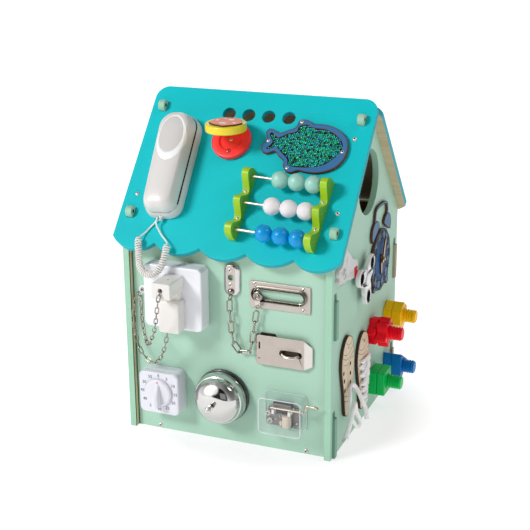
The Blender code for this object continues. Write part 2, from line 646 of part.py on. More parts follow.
# --------------------------------------------------------------- music box
case = slab_mesh([rounded(rect(53.6, 114.4, 34.6, 86.4), 6.0, 3)], GAP, 28.0)
inside = slab_mesh([rounded(rect(55.6, 112.4, 36.6, 84.4), 4.5, 3)], -3.0, 26.0)
CRANK_Z, CRANK_W = 69.0, 17.0
port = rod_mesh(2.2, 108.0, 119.0, 8)
port.transform(Matrix.Translation((0, CRANK_Z, CRANK_W)) @ Matrix.Rotation(math.pi / 2, 4, "Y"))
piece("music_case", cut(case, inside, port), FRONT, CLEAR, smooth=35)
bed = slab_mesh([rounded(rect(57.0, 105.0, 39.5, 66.0), 2.0, 1)], 0.8, 3.4)
comb = box_mesh(69.0, 96.0, 64.0, 73.0, 3.0, 11.0)
post_a = box_mesh(70.0, 73.5, 60.0, 66.6, 3.0, 14.0)
post_b = box_mesh(93.0, 96.5, 60.0, 66.6, 3.0, 14.0)
drum = rod_mesh(6.2, -8.6, 8.6, 16)
drum.transform(Matrix.Translation((88.5, 49.6, 9.3)) @ Matrix.Rotation(math.pi / 2, 4, "X"))
cheek = box_mesh(80.0, 97.0, 39.8, 42.2, 3.0, 9.0)
governor = box_mesh(58.5, 67.0, 46.0, 62.0, 3.0, 8.5)
piece("music_movement", fuse(bed, comb, post_a, post_b, drum, cheek, governor), FRONT, STEEL)
crank = [(68.0, CRANK_Z, CRANK_W), (92.0, CRANK_Z, CRANK_W), (115.0, CRANK_Z, CRANK_W),
         (116.4, CRANK_Z + 1.2, CRANK_W), (117.4, CRANK_Z + 9.4, CRANK_W),
         (119.0, CRANK_Z + 10.4, CRANK_W), (127.0, CRANK_Z + 10.2, CRANK_W),
         (135.5, CRANK_Z + 9.4, CRANK_W)]
piece("music_crank", tube_mesh(crank, 1.3, [1, 1, 1, 1, 1, 1, 1.5, 1.5], res=1), FRONT, STEEL,
      pivot=world_mm(FRONT, (115.0, CRANK_Z, CRANK_W)), smooth=50)

# ------------------------------------------------------- right-hand gable
# fidget spinner
SPIN_Y, SPIN_Z = -36.0, 223.0
LOBE_AT, LOBE_R, WAIST = 26.5, 12.0, 13.0
lobes = []
for k in range(72):
    t = 2 * math.pi * k / 72
    off = (t - math.radians(42) + math.pi / 3) % (2 * math.pi / 3) - math.pi / 3
    edge = math.asin(LOBE_R / LOBE_AT)
    if abs(off) < edge:
        r = LOBE_AT * math.cos(off) + math.sqrt(LOBE_R ** 2 - (LOBE_AT * math.sin(off)) ** 2)
    else:
        fade = (abs(off) - edge) / (math.pi / 3 - edge)
        r = WAIST + (LOBE_AT * math.cos(edge) - WAIST) * math.cos(fade * math.pi / 2) ** 2
    lobes.append((SPIN_Y + r * math.cos(t), SPIN_Z + r * math.sin(t)))
spinner = slab_mesh([lobes, circle(SPIN_Y, SPIN_Z, 3.2, 12)], 5.8, 12.8, 1.2, 0)
piece("fidget_spinner", spinner, RIGHT, WHITE, pivot=(159.3, SPIN_Y, SPIN_Z), smooth=35)

# alarm-clock shaped dial plate and its two hands
CLOCK = (50.5, 225.0)
cy, cz = CLOCK
face = slab_mesh([circle(53.5, 222.0, 45.0, 36)], GAP, 4.3)
bell_l = slab_mesh([circle(22.5, 271.5, 18.5, 16)], GAP + 0.2, 4.1)
bell_r = slab_mesh([circle(83.5, 270.5, 18.5, 16)], GAP + 0.2, 4.1)
arch_out = [(50.5 + 32 * math.cos(t), 280 + 27 * math.sin(t))
            for t in [math.pi * k / 12 for k in range(13)]]
arch_in = [(50.5 + 27.5 * math.cos(t), 280 + 22.5 * math.sin(t))
           for t in [math.pi * k / 12 for k in range(12, -1, -1)]]
arch = slab_mesh([arch_out + arch_in], GAP + 0.4, 3.9)
piece("clock_face", fuse(face, bell_l, bell_r, arch), RIGHT, CLOCK_BLUE)


def hand(length, wide, lean):
    loop = [(-3.2, -5), (3.2, -5), (wide, 3), (wide * 0.9, length * 0.7), (0, length),
            (-wide * 0.9, length * 0.7), (-wide, 3)]
    c, k = math.cos(lean), math.sin(lean)
    return [[(cy + a * c + b * k, cz - a * k + b * c) for a, b in loop],
            circle(cy, cz, 1.3, 8)]


piece("clock_hour_hand", slab_mesh(hand(25.0, 3.0, math.pi), 4.7, 6.7), RIGHT, BIRCH,
      pivot=(150 + 4.7, cy, cz))
piece("clock_minute_hand", slab_mesh(hand(32.0, 2.8, math.radians(20)), 7.0, 9.0), RIGHT, BIRCH,
      pivot=(150 + 7.0, cy, cz))

# white turn latch by the front corner; it turns on its grey screw
latch = rounded([(-105, 283), (-90, 272.5), (-81, 264.5), (-61.5, 257.5), (-57.0, 247),
                 (-58, 237.6), (-71, 236), (-88, 238), (-108, 243.5), (-115, 241),
                 (-130, 243), (-138.6, 249), (-136.2, 254.6), (-140.5, 260.7),
                 (-136.7, 265.4), (-126.8, 266.8), (-120, 272), (-117, 284), (-111, 291)],
                [4, 2, 2, 3, 3, 3, 2, 2, 1.5, 2, 5, 3, 1, 3, 2, 2, 2, 3, 3], 2)
LATCH = (-118.0, 255.0)
piece("turn_latch", slab_mesh([latch], GAP, 5.2, 0.8, 0), RIGHT, WHITE,
      pivot=(150.3, *LATCH), smooth=35)


# big nuts and bolts
def polygon(n, r, turn):
    return [(r * math.cos(turn + 2 * math.pi * k / n),
             r * math.sin(turn + 2 * math.pi * k / n)) for k in range(n)]


def flower(r0, r1, n=6):
    return [((r0 + r1 * math.cos(n * t)) * math.cos(t + 0.3),
             (r0 + r1 * math.cos(n * t)) * math.sin(t + 0.3))
            for t in [2 * math.pi * k / 36 for k in range(36)]]


HEAD, NUT0 = 12.5, 13.0
SHAFT_R = 10.0
TRIANGLE = rounded(polygon(3, 27.5, 0.0), 3.5, 3)
BOLTS = {                 # y, z, paint, outline, head's turn, nut's top, bolt's tip
    "yellow": (102.0, 123.0, YELLOW, rounded(polygon(6, 20.5, math.pi / 2), 2.0, 1),
               0.0, 27.4, 46.6),
    "red": (25.5, 124.0, RED, flower(18.6, 2.8), 0.5, 28.0, 47.4),
    "green": (36.5, 43.8, GREEN, rounded(polygon(4, 25.4, math.pi / 4), 3.0, 2),
              0.0, 24.0, 45.4),
    "blue": (106.0, 40.5, BLUE, TRIANGLE, 0.0, 28.0, 46.0),
}
for name, (y, z, mat, loop, turn, nut_top, tip) in BOLTS.items():
    at = moved(RIGHT, y, z)
    head = slab_mesh([loop], GAP, HEAD, 1.2, 0)
    head.transform(Matrix.Rotation(turn, 4, "Z"))
    thread = [(0, tip), (8.6, tip), (SHAFT_R, tip - 2)]
    for k in range(4):
        top = tip - 3.6 - 3.9 * k
        thread += [(SHAFT_R, top), (8.7, top - 1.2), (SHAFT_R, top - 2.4)]
    thread += [(SHAFT_R, HEAD - 1.5), (0, HEAD - 1.5)]
    piece(name + "_bolt", fuse(head, turned_mesh(thread, 14)), at, mat, smooth=35)
    piece(name + "_nut", slab_mesh([loop, circle(0, 0, SHAFT_R + 0.5, 14)], NUT0, nut_top),
          at, mat, pivot=world_mm(at, (0, 0, NUT0)))

# lacing boards shaped like shoe soles
sole = [(4, 59), (17, 51), (24.5, 32), (26, 10), (23, -14), (18, -36), (10, -53), (0, -58),
        (-9, -54), (-13, -40), (-17, -18), (-23, 2), (-27, 20), (-25, 38), (-17, 52), (-6, 59)]
SOLE_T = 4.6
LACE_HOLES = [(9, 16.5), (-19, 12.5), (10, 2), (-16, 0), (10.5, -11.5), (-13, -15), (10, -23.5)]


def sole_at(cy, cz):
    loop = [(cy + a, cz + b) for a, b in smooth_loop(sole, 2)]
    return [loop] + [circle(cy + a, cz + b, 2.2, 6) for a, b in LACE_HOLES]


piece("sole_front", slab_mesh(sole_at(-91.8, 100.0), GAP, SOLE_T), RIGHT, BIRCH)
piece("sole_rear", slab_mesh(sole_at(-22.6, 80.6), GAP, SOLE_T), RIGHT, BIRCH)
# the tied lace hangs from the front board: a tail, the bow and a short end
bow_route = [(176.6, -74.0, 33.5), (174.0, -71.8, 48.1), (170.0, -75.7, 61.4),
             (166.0, -77.5, 71.9), (161.4, -78.0, 80.0), (158.4, -84.0, 86.0),
             (158.4, -94.0, 84.5), (161.4, -102.0, 77.0), (163.4, -107.4, 66.0),
             (164.0, -108.4, 56.0), (165.0, -103.0, 44.0), (166.2, -92.0, 31.0),
             (167.0, -83.0, 24.0), (167.6, -76.8, 27.6), (167.8, -80.5, 36.0),
             (167.4, -92.0, 50.0), (167.2, -96.4, 60.0), (168.2, -102.0, 68.0),
             (168.8, -109.0, 66.0), (168.4, -115.0, 54.0), (167.0, -117.0, 38.0),
             (166.0, -116.0, 26.0)]
piece("shoe_lace", tube_mesh(smooth_path(bow_route, 7.0), 1.7, res=1), WORLD, LACE, smooth=50)

for mesh_old in [m for m in bpy.data.meshes if m.users == 0]:
    bpy.data.meshes.remove(mesh_old)
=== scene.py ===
"""Looks for the activity house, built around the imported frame.

A piece is modelled in millimetres in the flat frame of whatever carries it
(wall, roof slope), then placed in metres in the row frame, +Z up.
"""

import math
import random

import bmesh
import bpy
import numpy as np
from mathutils import Matrix, Vector
from mathutils.bvhtree import BVHTree


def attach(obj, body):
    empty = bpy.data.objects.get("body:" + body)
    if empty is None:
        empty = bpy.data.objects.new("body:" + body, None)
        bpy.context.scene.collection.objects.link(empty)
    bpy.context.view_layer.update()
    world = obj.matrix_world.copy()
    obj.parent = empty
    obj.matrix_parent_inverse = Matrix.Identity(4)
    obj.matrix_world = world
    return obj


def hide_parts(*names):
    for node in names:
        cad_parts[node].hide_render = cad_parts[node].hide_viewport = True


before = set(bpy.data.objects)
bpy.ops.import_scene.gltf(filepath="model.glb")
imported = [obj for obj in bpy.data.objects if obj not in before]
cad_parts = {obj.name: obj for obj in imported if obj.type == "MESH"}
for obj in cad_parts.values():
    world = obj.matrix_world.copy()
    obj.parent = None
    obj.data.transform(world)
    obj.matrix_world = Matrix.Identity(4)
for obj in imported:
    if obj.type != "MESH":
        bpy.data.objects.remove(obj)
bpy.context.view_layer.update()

MM = 0.001
PLY = 9.0
GAP = 0.3
WIDTH = DEPTH = 300.0
RIDGE = 461.6
SLOPE = math.radians(49.3)
CA, SA = math.cos(SLOPE), math.sin(SLOPE)
PANEL_FACE = 141.0
INNER = WIDTH / 2 - PLY


# ------------------------------------------------------------------ frames
def basis(o, u, v, w):
    m = Matrix.Identity(4)
    for col, axis in enumerate((u, v, w)):
        for row in range(3):
            m[row][col] = axis[row] * MM
    for row in range(3):
        m[row][3] = o[row] * MM
    return m


WORLD = basis((0, 0, 0), (1, 0, 0), (0, 1, 0), (0, 0, 1))
FRONT = basis((0, -PANEL_FACE, 0), (1, 0, 0), (0, 0, 1), (0, -1, 0))
BACK = basis((0, PANEL_FACE, 0), (-1, 0, 0), (0, 0, 1), (0, 1, 0))
RIGHT = basis((WIDTH / 2, 0, 0), (0, 1, 0), (0, 0, 1), (1, 0, 0))
LEFT_IN = basis((-WIDTH / 2 + PLY, 0, 0), (0, 1, 0), (0, 0, 1), (1, 0, 0))
ROOF = basis((0, 0, RIDGE), (1, 0, 0), (0, CA, SA), (0, -SA, CA))
ROOF_B = basis((0, 0, RIDGE), (-1, 0, 0), (0, -CA, SA), (0, SA, CA))


def moved(fr, du, dv, dw=0.0, turn=0.0):
    return fr @ Matrix.Translation((du, dv, dw)) @ Matrix.Rotation(turn, 4, "Z")


def along_x(fr):
    return fr @ Matrix(((0, 0, 1, 0), (1, 0, 0, 0), (0, 1, 0, 0), (0, 0, 0, 1)))


def on_roof(x, s, h):
    return x, -s * CA - h * SA, RIDGE - s * SA + h * CA


def shift(me, *d):
    me.transform(Matrix.Translation(d))
    return me


def turn(me, deg, axis="Z"):
    me.transform(Matrix.Rotation(math.radians(deg), 4, axis))
    return me


# ------------------------------------------------------------------ camera
def make_camera():
    a, e, r = math.radians(22.059), math.radians(18.596), math.radians(-0.344)
    fwd = Vector((-math.sin(a) * math.cos(e), math.cos(a) * math.cos(e), -math.sin(e)))
    right = Vector((math.cos(a), math.sin(a), 0.0))
    up = right.cross(fwd)
    x = math.cos(r) * right + math.sin(r) * up
    y = -math.sin(r) * right + math.cos(r) * up
    m = Matrix.Identity(4)
    for col, axis in enumerate((x, y, -fwd, Vector((0.59448, -1.47395, 0.74688)))):
        for row in range(3):
            m[row][col] = axis[row]
    cam = bpy.data.cameras.new("camera")
    cam.sensor_width, cam.lens = 36.0, 79.27
    cam.clip_start, cam.clip_end = 0.05, 60.0
    ob = bpy.data.objects.new("camera", cam)
    ob.matrix_world = m
    bpy.context.scene.collection.objects.link(ob)
    bpy.context.scene.camera = ob
    return ob


make_camera()


# --------------------------------------------------------------- materials
def srgb(r, g, b):
    out = []
    for c in (r, g, b):
        c /= 255.0
        out.append(c / 12.92 if c <= 0.04045 else ((c + 0.055) / 1.055) ** 2.4)
    return tuple(out)


class Mat:
    """A principled material whose colour, roughness and bump come from nodes."""

    def __init__(self, name, rgb=(0.8, 0.8, 0.8), rough=0.5, metal=0.0, coat=0.0, coat_rough=0.1,
                 trans=0.0, ior=1.5, sheen=0.0, spec=0.5):
        self.mat = bpy.data.materials.new(name)
        self.mat.use_nodes = True
        self.t = self.mat.node_tree
        self.sh = self.t.nodes["Principled BSDF"]
        self.rgb, self.rough = rgb, rough
        for key, value in (("Base Color", (*rgb, 1.0)), ("Roughness", rough), ("Metallic", metal),
                           ("Coat Weight", coat), ("Coat Roughness", coat_rough),
                           ("Transmission Weight", trans), ("IOR", ior), ("Sheen Weight", sheen),
                           ("Specular IOR Level", spec)):
            self.sh.inputs[key].default_value = value
        self.mat.diffuse_color = (*rgb, 1.0)
        self.co = self.node("ShaderNodeTexCoord").outputs["Object"]
        self.normal = None

    def node(self, kind, inputs=None, **attrs):
        n = self.t.nodes.new(kind)
        for k, v in attrs.items():
            setattr(n, k, v)
        for k, v in (inputs or {}).items():
            self.put(n.inputs[k], v)
        return n

    def put(self, socket, v):
        if isinstance(v, bpy.types.NodeSocket):
            self.t.links.new(v, socket)
        else:
            socket.default_value = v

    def scaled(self, x, y, z, co=None):
        return self.node("ShaderNodeVectorMath", {0: co or self.co, 1: (x, y, z)},
                         operation="MULTIPLY").outputs[0]

    def dot(self, axis):
        return self.node("ShaderNodeVectorMath", {0: self.co, 1: axis},
                         operation="DOT_PRODUCT").outputs["Value"]

    def noise(self, scale, detail=3.0, rough=0.55, co=None, distort=0.0):
        return self.node("ShaderNodeTexNoise", {"Vector": co or self.co, "Scale": scale,
                         "Detail": detail, "Roughness": rough, "Distortion": distort}).outputs[0]

    def voronoi(self, scale, co=None, feature="F1", out="Distance"):
        return self.node("ShaderNodeTexVoronoi", {"Vector": co or self.co, "Scale": scale},
                         feature=feature).outputs[out]

    def wave(self, scale, co=None, direction="X", distort=0.0, detail=1.0, dscale=1.0, profile="SIN"):
        return self.node("ShaderNodeTexWave", {"Vector": co or self.co, "Scale": scale,
                         "Distortion": distort, "Detail": detail, "Detail Scale": dscale},
                         wave_type="BANDS", bands_direction=direction, wave_profile=profile).outputs[1]

    def math(self, op, a, b=0.0, clamp=False):
        return self.node("ShaderNodeMath", {0: a, 1: b}, operation=op, use_clamp=clamp).outputs[0]

    def span(self, v, a, b, c=0.0, d=1.0):
        return self.node("ShaderNodeMapRange", {"Value": v, "From Min": a, "From Max": b,
                         "To Min": c, "To Max": d}).outputs[0]

    def ramp(self, fac, stops):
        n = self.node("ShaderNodeValToRGB", {"Fac": fac})
        cr = n.color_ramp
        while len(cr.elements) < len(stops):
            cr.elements.new(0.5)
        for el, (pos, rgb) in zip(cr.elements, stops):
            el.position, el.color = pos, (*rgb, 1.0)
        return n.outputs[0]

    def mix(self, fac, a, b, blend="MIX"):
        n = self.node("ShaderNodeMix", data_type="RGBA", blend_type=blend)
        for i, v in ((0, fac), (6, a), (7, b)):
            if isinstance(v, tuple) and len(v) == 3:
                v = (*v, 1.0)
            self.put(n.inputs[i], v)
        return n.outputs[2]

    def tone(self, fac, lo, hi, base=None):
        """Brightness of the colour from lo to hi times, as fac goes 0 to 1."""
        g = self.span(fac, 0.0, 1.0, lo, hi)
        col = self.node("ShaderNodeCombineColor", {0: g, 1: g, 2: g}).outputs[0]
        return self.mix(1.0, base if base is not None else self.rgb, col, "MULTIPLY")

    def colour(self, v):
        self.put(self.sh.inputs["Base Color"], v)
        return self

    def roughness(self, v):
        self.put(self.sh.inputs["Roughness"], v)
        return self

    def bump(self, height, strength, dist=0.0003):
        n = self.node("ShaderNodeBump", {"Height": height, "Strength": strength, "Distance": dist})
        if self.normal is not None:
            self.put(n.inputs["Normal"], self.normal)
        self.normal = n.outputs[0]
        self.put(self.sh.inputs["Normal"], self.normal)
        return self


def painted_wood(name, rgb, grain, rough=0.5, bump=0.18, spread=0.05, coat=0.0, pale=0.0, spec=0.5):
    """Satin paint over sanded plywood. grain is how the grain stretches."""
    m = Mat(name, rgb, rough, coat=coat, coat_rough=0.25, spec=spec)
    fine = m.noise(1.0, 4.0, 0.6, m.scaled(*grain))
    cloud = m.noise(9.0, 3.0)
    speck = m.noise(1500.0, 2.0)
    col = m.tone(cloud, 1 - spread, 1 + spread)
    col = m.tone(fine, 1 - spread * 0.7, 1 + spread * 0.7, col)
    if pale:
        wear = m.span(m.noise(1.0, 5.0, 0.7, m.scaled(*[g * 1.7 for g in grain])), 0.60, 0.74)
        col = m.mix(m.math("MULTIPLY", wear, pale), col, tuple(min(1.0, c * 0.5 + 0.5) for c in rgb))
    m.colour(col)
    m.roughness(m.span(speck, 0.25, 0.75, rough - 0.07, rough + 0.08))
    m.bump(fine, bump, 0.00035)
    m.bump(speck, 0.06, 0.0002)
    return m.mat


def ply_edge(name, axis, tint=(178, 160, 122), dark=(120, 88, 52), thick=9.0, burn=0.0, offset=0.0):
    """Cut plywood edge: the plies lie across axis."""
    m = Mat(name, srgb(*tint), 0.7)
    along = m.math("ADD", m.dot(axis), offset * MM)
    d = m.math("ADD", m.math("MULTIPLY", along, 1000.0 / (thick / 2.5)),
               m.math("MULTIPLY", m.noise(60.0), 0.12))
    band = m.math("FRACT", d)
    band = m.span(m.math("ABSOLUTE", m.math("SUBTRACT", band, 0.5)), 0.18, 0.32)
    col = m.mix(band, srgb(*tint), srgb(*dark))
    fibre = m.noise(900.0, 4.0, 0.7)
    col = m.tone(fibre, 0.8, 1.18, col)
    if burn:
        soot = m.span(m.noise(140.0, 3.0), 0.25, 0.75, burn - 0.25, min(1.0, burn + 0.2))
        col = m.mix(soot, col, srgb(58, 34, 20))
    m.colour(col)
    m.bump(fibre, 0.35, 0.0004)
    return m.mat


def raw_wood(name, tint, dark, grain, bump=0.2, rough=0.62, rings=0.0):
    """Bare sanded birch with its figure."""
    m = Mat(name, srgb(*tint), rough)
    broad = m.noise(1.0, 3.0, 0.5, m.scaled(*[g * 0.22 for g in grain]), 0.6)
    fine = m.noise(1.0, 5.0, 0.65, m.scaled(*grain))
    col = m.mix(m.span(broad, 0.3, 0.75, 0.0, 0.55), srgb(*tint), srgb(*dark))
    col = m.tone(fine, 0.84, 1.12, col)
    m.colour(col)
    m.roughness(m.span(fine, 0.2, 0.8, rough - 0.06, rough + 0.1))
    m.bump(fine, bump, 0.0004)
    return m.mat


def plastic(name, rgb, rough=0.3, coat=0.25, grain=0.03, mottle=0.015, dist=0.0002, scale=1800.0):
    """Moulded plastic with a faint orange-peel and slight colour drift."""
    m = Mat(name, rgb, rough, coat=coat, coat_rough=0.12)
    peel = m.noise(scale, 2.0)
    drift = m.noise(22.0, 2.0)
    m.colour(m.tone(drift, 1 - mottle, 1 + mottle))
    m.roughness(m.span(m.noise(260.0, 3.0), 0.3, 0.7, rough - 0.05, rough + 0.06))
    m.bump(peel, grain, dist)
    return m.mat


def metal(name, rgb, rough=0.25, streak=None, bump=0.05, wear=0.08):
    m = Mat(name, rgb, rough, metal=1.0)
    lines = m.noise(1.0, 4.0, 0.6, m.scaled(*(streak or (900, 900, 900))))
    smudge = m.noise(70.0, 3.0)
    m.colour(m.tone(smudge, 1 - wear, 1 + wear * 0.5))
    m.roughness(m.span(lines, 0.2, 0.8, max(0.03, rough - 0.08), rough + 0.1))
    if bump:
        m.bump(lines, bump, 0.0002)
    return m.mat


def strand(name, rgb, rough=0.5, braid=0.0, rows=2.0):
    """Cord or lace: u runs along in millimetres, v runs around."""
    m = Mat(name, rgb, rough, coat=0.0 if braid else 0.2)
    uv = m.node("ShaderNodeUVMap", uv_map="UVMap").outputs[0]
    drift = m.noise(120.0, 2.0)
    m.colour(m.tone(drift, 0.94, 1.04))
    if braid:
        a = m.wave(1.0, m.node("ShaderNodeMapping", {"Vector": uv, "Scale": (rows, 6.0, 1.0),
                   "Rotation": (0, 0, 0.6)}).outputs[0])
        b = m.wave(1.0, m.node("ShaderNodeMapping", {"Vector": uv, "Scale": (rows, 6.0, 1.0),
                   "Rotation": (0, 0, -0.6)}).outputs[0])
        h = m.math("MAXIMUM", a, b)
        m.colour(m.tone(h, 0.88, 1.03, m.tone(drift, 0.96, 1.03)))
        m.bump(h, braid, 0.0004)
    else:
        m.bump(m.noise(900.0, 2.0), 0.04, 0.0002)
    return m.mat


TURQ_RGB = srgb(4, 195, 203)
GRAIN_Z = (700.0, 700.0, 22.0)
GRAIN_X = (22.0, 700.0, 700.0)
GRAIN_Y = (700.0, 22.0, 700.0)
ROOF_N = (0.0, -SA, CA)
ROOF_NB = (0.0, SA, CA)

MINT = painted_wood("mint_paint", srgb(172, 210, 189), GRAIN_Z, 0.52, 0.14, 0.035, spec=0.35)
MINT_EDGE = painted_wood("mint_paint_edge", srgb(158, 204, 178), (420, 420, 60), 0.6, 0.3, 0.06)
TURQ = painted_wood("turquoise_paint", TURQ_RGB, GRAIN_X, 0.5, 0.16, 0.045, spec=0.18)
TURQ_EDGE = painted_wood("turquoise_edge", srgb(20, 168, 180), (60, 500, 500), 0.6, 0.3, 0.08)
# bare ply for the inner faces, darker brown than the same ply outside: painted shade for the closed interior
INSIDE_SHADED_PLY = raw_wood("raw_ply_inside_painted_shade", (112, 86, 56), (80, 57, 35), GRAIN_X)
UNDER = raw_wood("raw_ply_under", (206, 192, 160), (172, 154, 118), GRAIN_X)
EDGE_X = ply_edge("raw_edge_x", (1, 0, 0))
EDGE_ROOF = ply_edge("raw_edge_roof", ROOF_N)
SCREW = metal("screw_steel", srgb(222, 214, 208), 0.34)
# near-black fill for screw recesses and peg holes: painted shade
RECESS_SHADE_PAINT = Mat("painted_recess_shade", srgb(48, 34, 30), 0.7).mat


# ------------------------------------------------------------- mesh makers
def temp(me):
    ob = bpy.data.objects.new("temp", me)
    bpy.context.scene.collection.objects.link(ob)
    return ob


def baked(ob):
    dg = bpy.context.evaluated_depsgraph_get()
    me = bpy.data.meshes.new_from_object(ob.evaluated_get(dg))
    bpy.data.objects.remove(ob)
    return me


def weld(me, dist=0.0005):
    bm = bmesh.new()
    bm.from_mesh(me)
    bmesh.ops.remove_doubles(bm, verts=bm.verts, dist=dist)
    bmesh.ops.dissolve_degenerate(bm, edges=bm.edges, dist=dist)
    bmesh.ops.recalc_face_normals(bm, faces=bm.faces)
    bm.to_mesh(me)
    bm.free()
    return me


def slab(loops, w0, w1, edge=0.0, seg=2, angle=40.0):
    """Flat outline with holes, w0 to w1 thick, its rims rounded by edge."""
    cu = bpy.data.curves.new("outline", "CURVE")
    cu.dimensions, cu.fill_mode = "2D", "BOTH"
    cu.extrude = (w1 - w0) / 2
    for loop in loops:
        sp = cu.splines.new("POLY")
        sp.points.add(len(loop) - 1)
        for pt, (a, b) in zip(sp.points, loop):
            pt.co = (a, b, 0.0, 1.0)
        sp.use_cyclic_u = True
    me = weld(baked(temp(cu)))
    bpy.data.curves.remove(cu)
    me.transform(Matrix.Translation((0, 0, (w0 + w1) / 2)))
    return rounded_rim(me, edge, seg, angle) if edge else me


def rounded_rim(me, width, seg=2, angle=40.0):
    ob = temp(me)
    mod = ob.modifiers.new("rim", "BEVEL")
    mod.width, mod.segments = width, seg
    mod.limit_method, mod.angle_limit = "ANGLE", math.radians(angle)
    mod.use_clamp_overlap = False
    mod.miter_outer = "MITER_SHARP"
    return baked(ob)


def box(u0, u1, v0, v1, w0, w1, edge=0.0, seg=2):
    bm = bmesh.new()
    size = Matrix.Diagonal((u1 - u0, v1 - v0, w1 - w0, 1.0))
    bmesh.ops.create_cube(bm, size=1.0, matrix=Matrix.Translation(
        ((u0 + u1) / 2, (v0 + v1) / 2, (w0 + w1) / 2)) @ size)
    if edge:
        bmesh.ops.bevel(bm, geom=bm.edges[:], offset=edge, segments=seg, affect="EDGES", profile=0.5)
    me = bpy.data.meshes.new("box")
    bm.to_mesh(me)
    bm.free()
    return me


def lathe(profile, seg=64, closed=False, u=0.0, v=0.0, w=0.0):
    """Profile of (radius, height) turned about the third axis."""
    verts, faces = [], []
    rows = []
    for r, h in profile:
        if r < 1e-6:
            rows.append([len(verts)] * seg)
            verts.append((u, v, h + w))
        else:
            rows.append(list(range(len(verts), len(verts) + seg)))
            verts += [(u + r * math.cos(2 * math.pi * k / seg),
                       v + r * math.sin(2 * math.pi * k / seg), h + w) for k in range(seg)]
    pairs = list(zip(rows, rows[1:])) + ([(rows[-1], rows[0])] if closed else [])
    for a, b in pairs:
        for k in range(seg):
            n = (k + 1) % seg
            ring = []
            for i in (a[k], a[n], b[n], b[k]):
                if i not in ring:
                    ring.append(i)
            if len(ring) > 2:
                faces.append(ring)
    me = bpy.data.meshes.new("lathe")
    me.from_pydata(verts, [], faces)
    return weld(me, 1e-5)


def rod(radius, w0, w1, seg=24, edge=0.0):
    e = min(edge, radius * 0.9, (w1 - w0) / 2)
    prof = [(0, w0), (radius - e, w0), (radius, w0 + e), (radius, w1 - e), (radius - e, w1), (0, w1)]
    return lathe(prof, seg)


def smooth_loop(ctrl, per=4):
    out, m = [], len(ctrl)
    for i in range(m):
        p = [Vector(ctrl[(i + k) % m]) for k in (-1, 0, 1, 2)]
        for j in range(per):
            t = j / per
            q = 0.5 * ((2 * p[1]) + (p[2] - p[0]) * t + (2 * p[0] - 5 * p[1] + 4 * p[2] - p[3]) * t * t
                       + (3 * p[1] - p[0] - 3 * p[2] + p[3]) * t ** 3)
            out.append((q.x, q.y))
    return out


def smooth_path(ctrl, step):
    pts = [Vector(c[:3]) for c in ctrl]
    fine = []
    for i in range(len(pts) - 1):
        p = [pts[max(i - 1, 0)], pts[i], pts[i + 1], pts[min(i + 2, len(pts) - 1)]]
        for j in range(20):
            t = j / 20
            fine.append(0.5 * ((2 * p[1]) + (p[2] - p[0]) * t
                        + (2 * p[0] - 5 * p[1] + 4 * p[2] - p[3]) * t * t
                        + (3 * p[1] - p[0] - 3 * p[2] + p[3]) * t ** 3))
    fine.append(pts[-1])
    total = sum((b - a).length for a, b in zip(fine, fine[1:]))
    n = max(2, round(total / step))
    out, want, run = [fine[0]], total / n, 0.0
    for a, b in zip(fine, fine[1:]):
        seg = (b - a).length
        while run + seg >= want * len(out) and len(out) < n:
            out.append(a.lerp(b, (want * len(out) - run) / max(seg, 1e-9)))
        run += seg
    out.append(fine[-1])
    return out


def frames_along(pts):
    """Tangent and two steady cross directions at each point."""
    n = len(pts)
    tans = [(pts[min(i + 1, n - 1)] - pts[max(i - 1, 0)]).normalized() for i in range(n)]
    side = tans[0].orthogonal().normalized()
    out = []
    for t in tans:
        side = (side - t * side.dot(t)).normalized()
        out.append((t, side, t.cross(side)))
    return out


def tube(points, radius, seg=10, radii=None, caps=True, flat=1.0):
    """Round tube along the points, with u along it (mm) and v around it."""
    pts = [Vector(p) for p in points]
    fr = frames_along(pts)
    verts, faces, uvs = [], [], []
    run = [0.0]
    for a, b in zip(pts, pts[1:]):
        run.append(run[-1] + (b - a).length)
    for i, (p, (t, a, b)) in enumerate(zip(pts, fr)):
        r = radii[i] if radii else radius
        for k in range(seg):
            q = 2 * math.pi * k / seg
            verts.append(p + a * (r * math.cos(q)) + b * (r * flat * math.sin(q)))
    for i in range(len(pts) - 1):
        for k in range(seg):
            n = (k + 1) % seg
            faces.append((i * seg + k, i * seg + n, (i + 1) * seg + n, (i + 1) * seg + k))
            uvs += [(run[i], k / seg), (run[i], (k + 1) / seg), (run[i + 1], (k + 1) / seg),
                    (run[i + 1], k / seg)]
    if caps:
        for ring, at in ((range(seg - 1, -1, -1), 0), (range(seg), (len(pts) - 1) * seg)):
            faces.append([at + k for k in ring])
            uvs += [(run[-1] if at else 0.0, 0.5)] * seg
    me = bpy.data.meshes.new("tube")
    me.from_pydata(verts, [], faces)
    layer = me.uv_layers.new(name="UVMap")
    layer.data.foreach_set("uv", [c for uv in uvs for c in uv])
    return me


def ringed(rings, caps=(True, True)):
    """Skin over rings of points that all have the same count."""
    n = len(rings[0])
    verts = [p for ring in rings for p in ring]
    faces = []
    for i in range(len(rings) - 1):
        for k in range(n):
            m = (k + 1) % n
            faces.append((i * n + k, i * n + m, (i + 1) * n + m, (i + 1) * n + k))
    if caps[0]:
        faces.append(list(range(n - 1, -1, -1)))
    if caps[1]:
        faces.append([(len(rings) - 1) * n + k for k in range(n)])
    me = bpy.data.meshes.new("rings")
    me.from_pydata(verts, [], faces)
    return weld(me)


def combine(first, others, operation):
    ob = temp(first)
    tools = []
    for me in others:
        c = temp(me)
        tools.append(c)
        mod = ob.modifiers.new("join", "BOOLEAN")
        mod.operation, mod.solver, mod.object = operation, "EXACT", c
    out = baked(ob)
    for c in tools:
        bpy.data.objects.remove(c)
    return weld(out)


def fuse(first, *others):
    return combine(first, others, "UNION")


def cut(first, *others):
    return combine(first, others, "DIFFERENCE")


def weighted(me):
    """Normals follow the large faces, so flats stay flat beside rounded rims."""
    ob = temp(me)
    mod = ob.modifiers.new("normals", "WEIGHTED_NORMAL")
    mod.keep_sharp, mod.weight = True, 60
    return baked(ob)


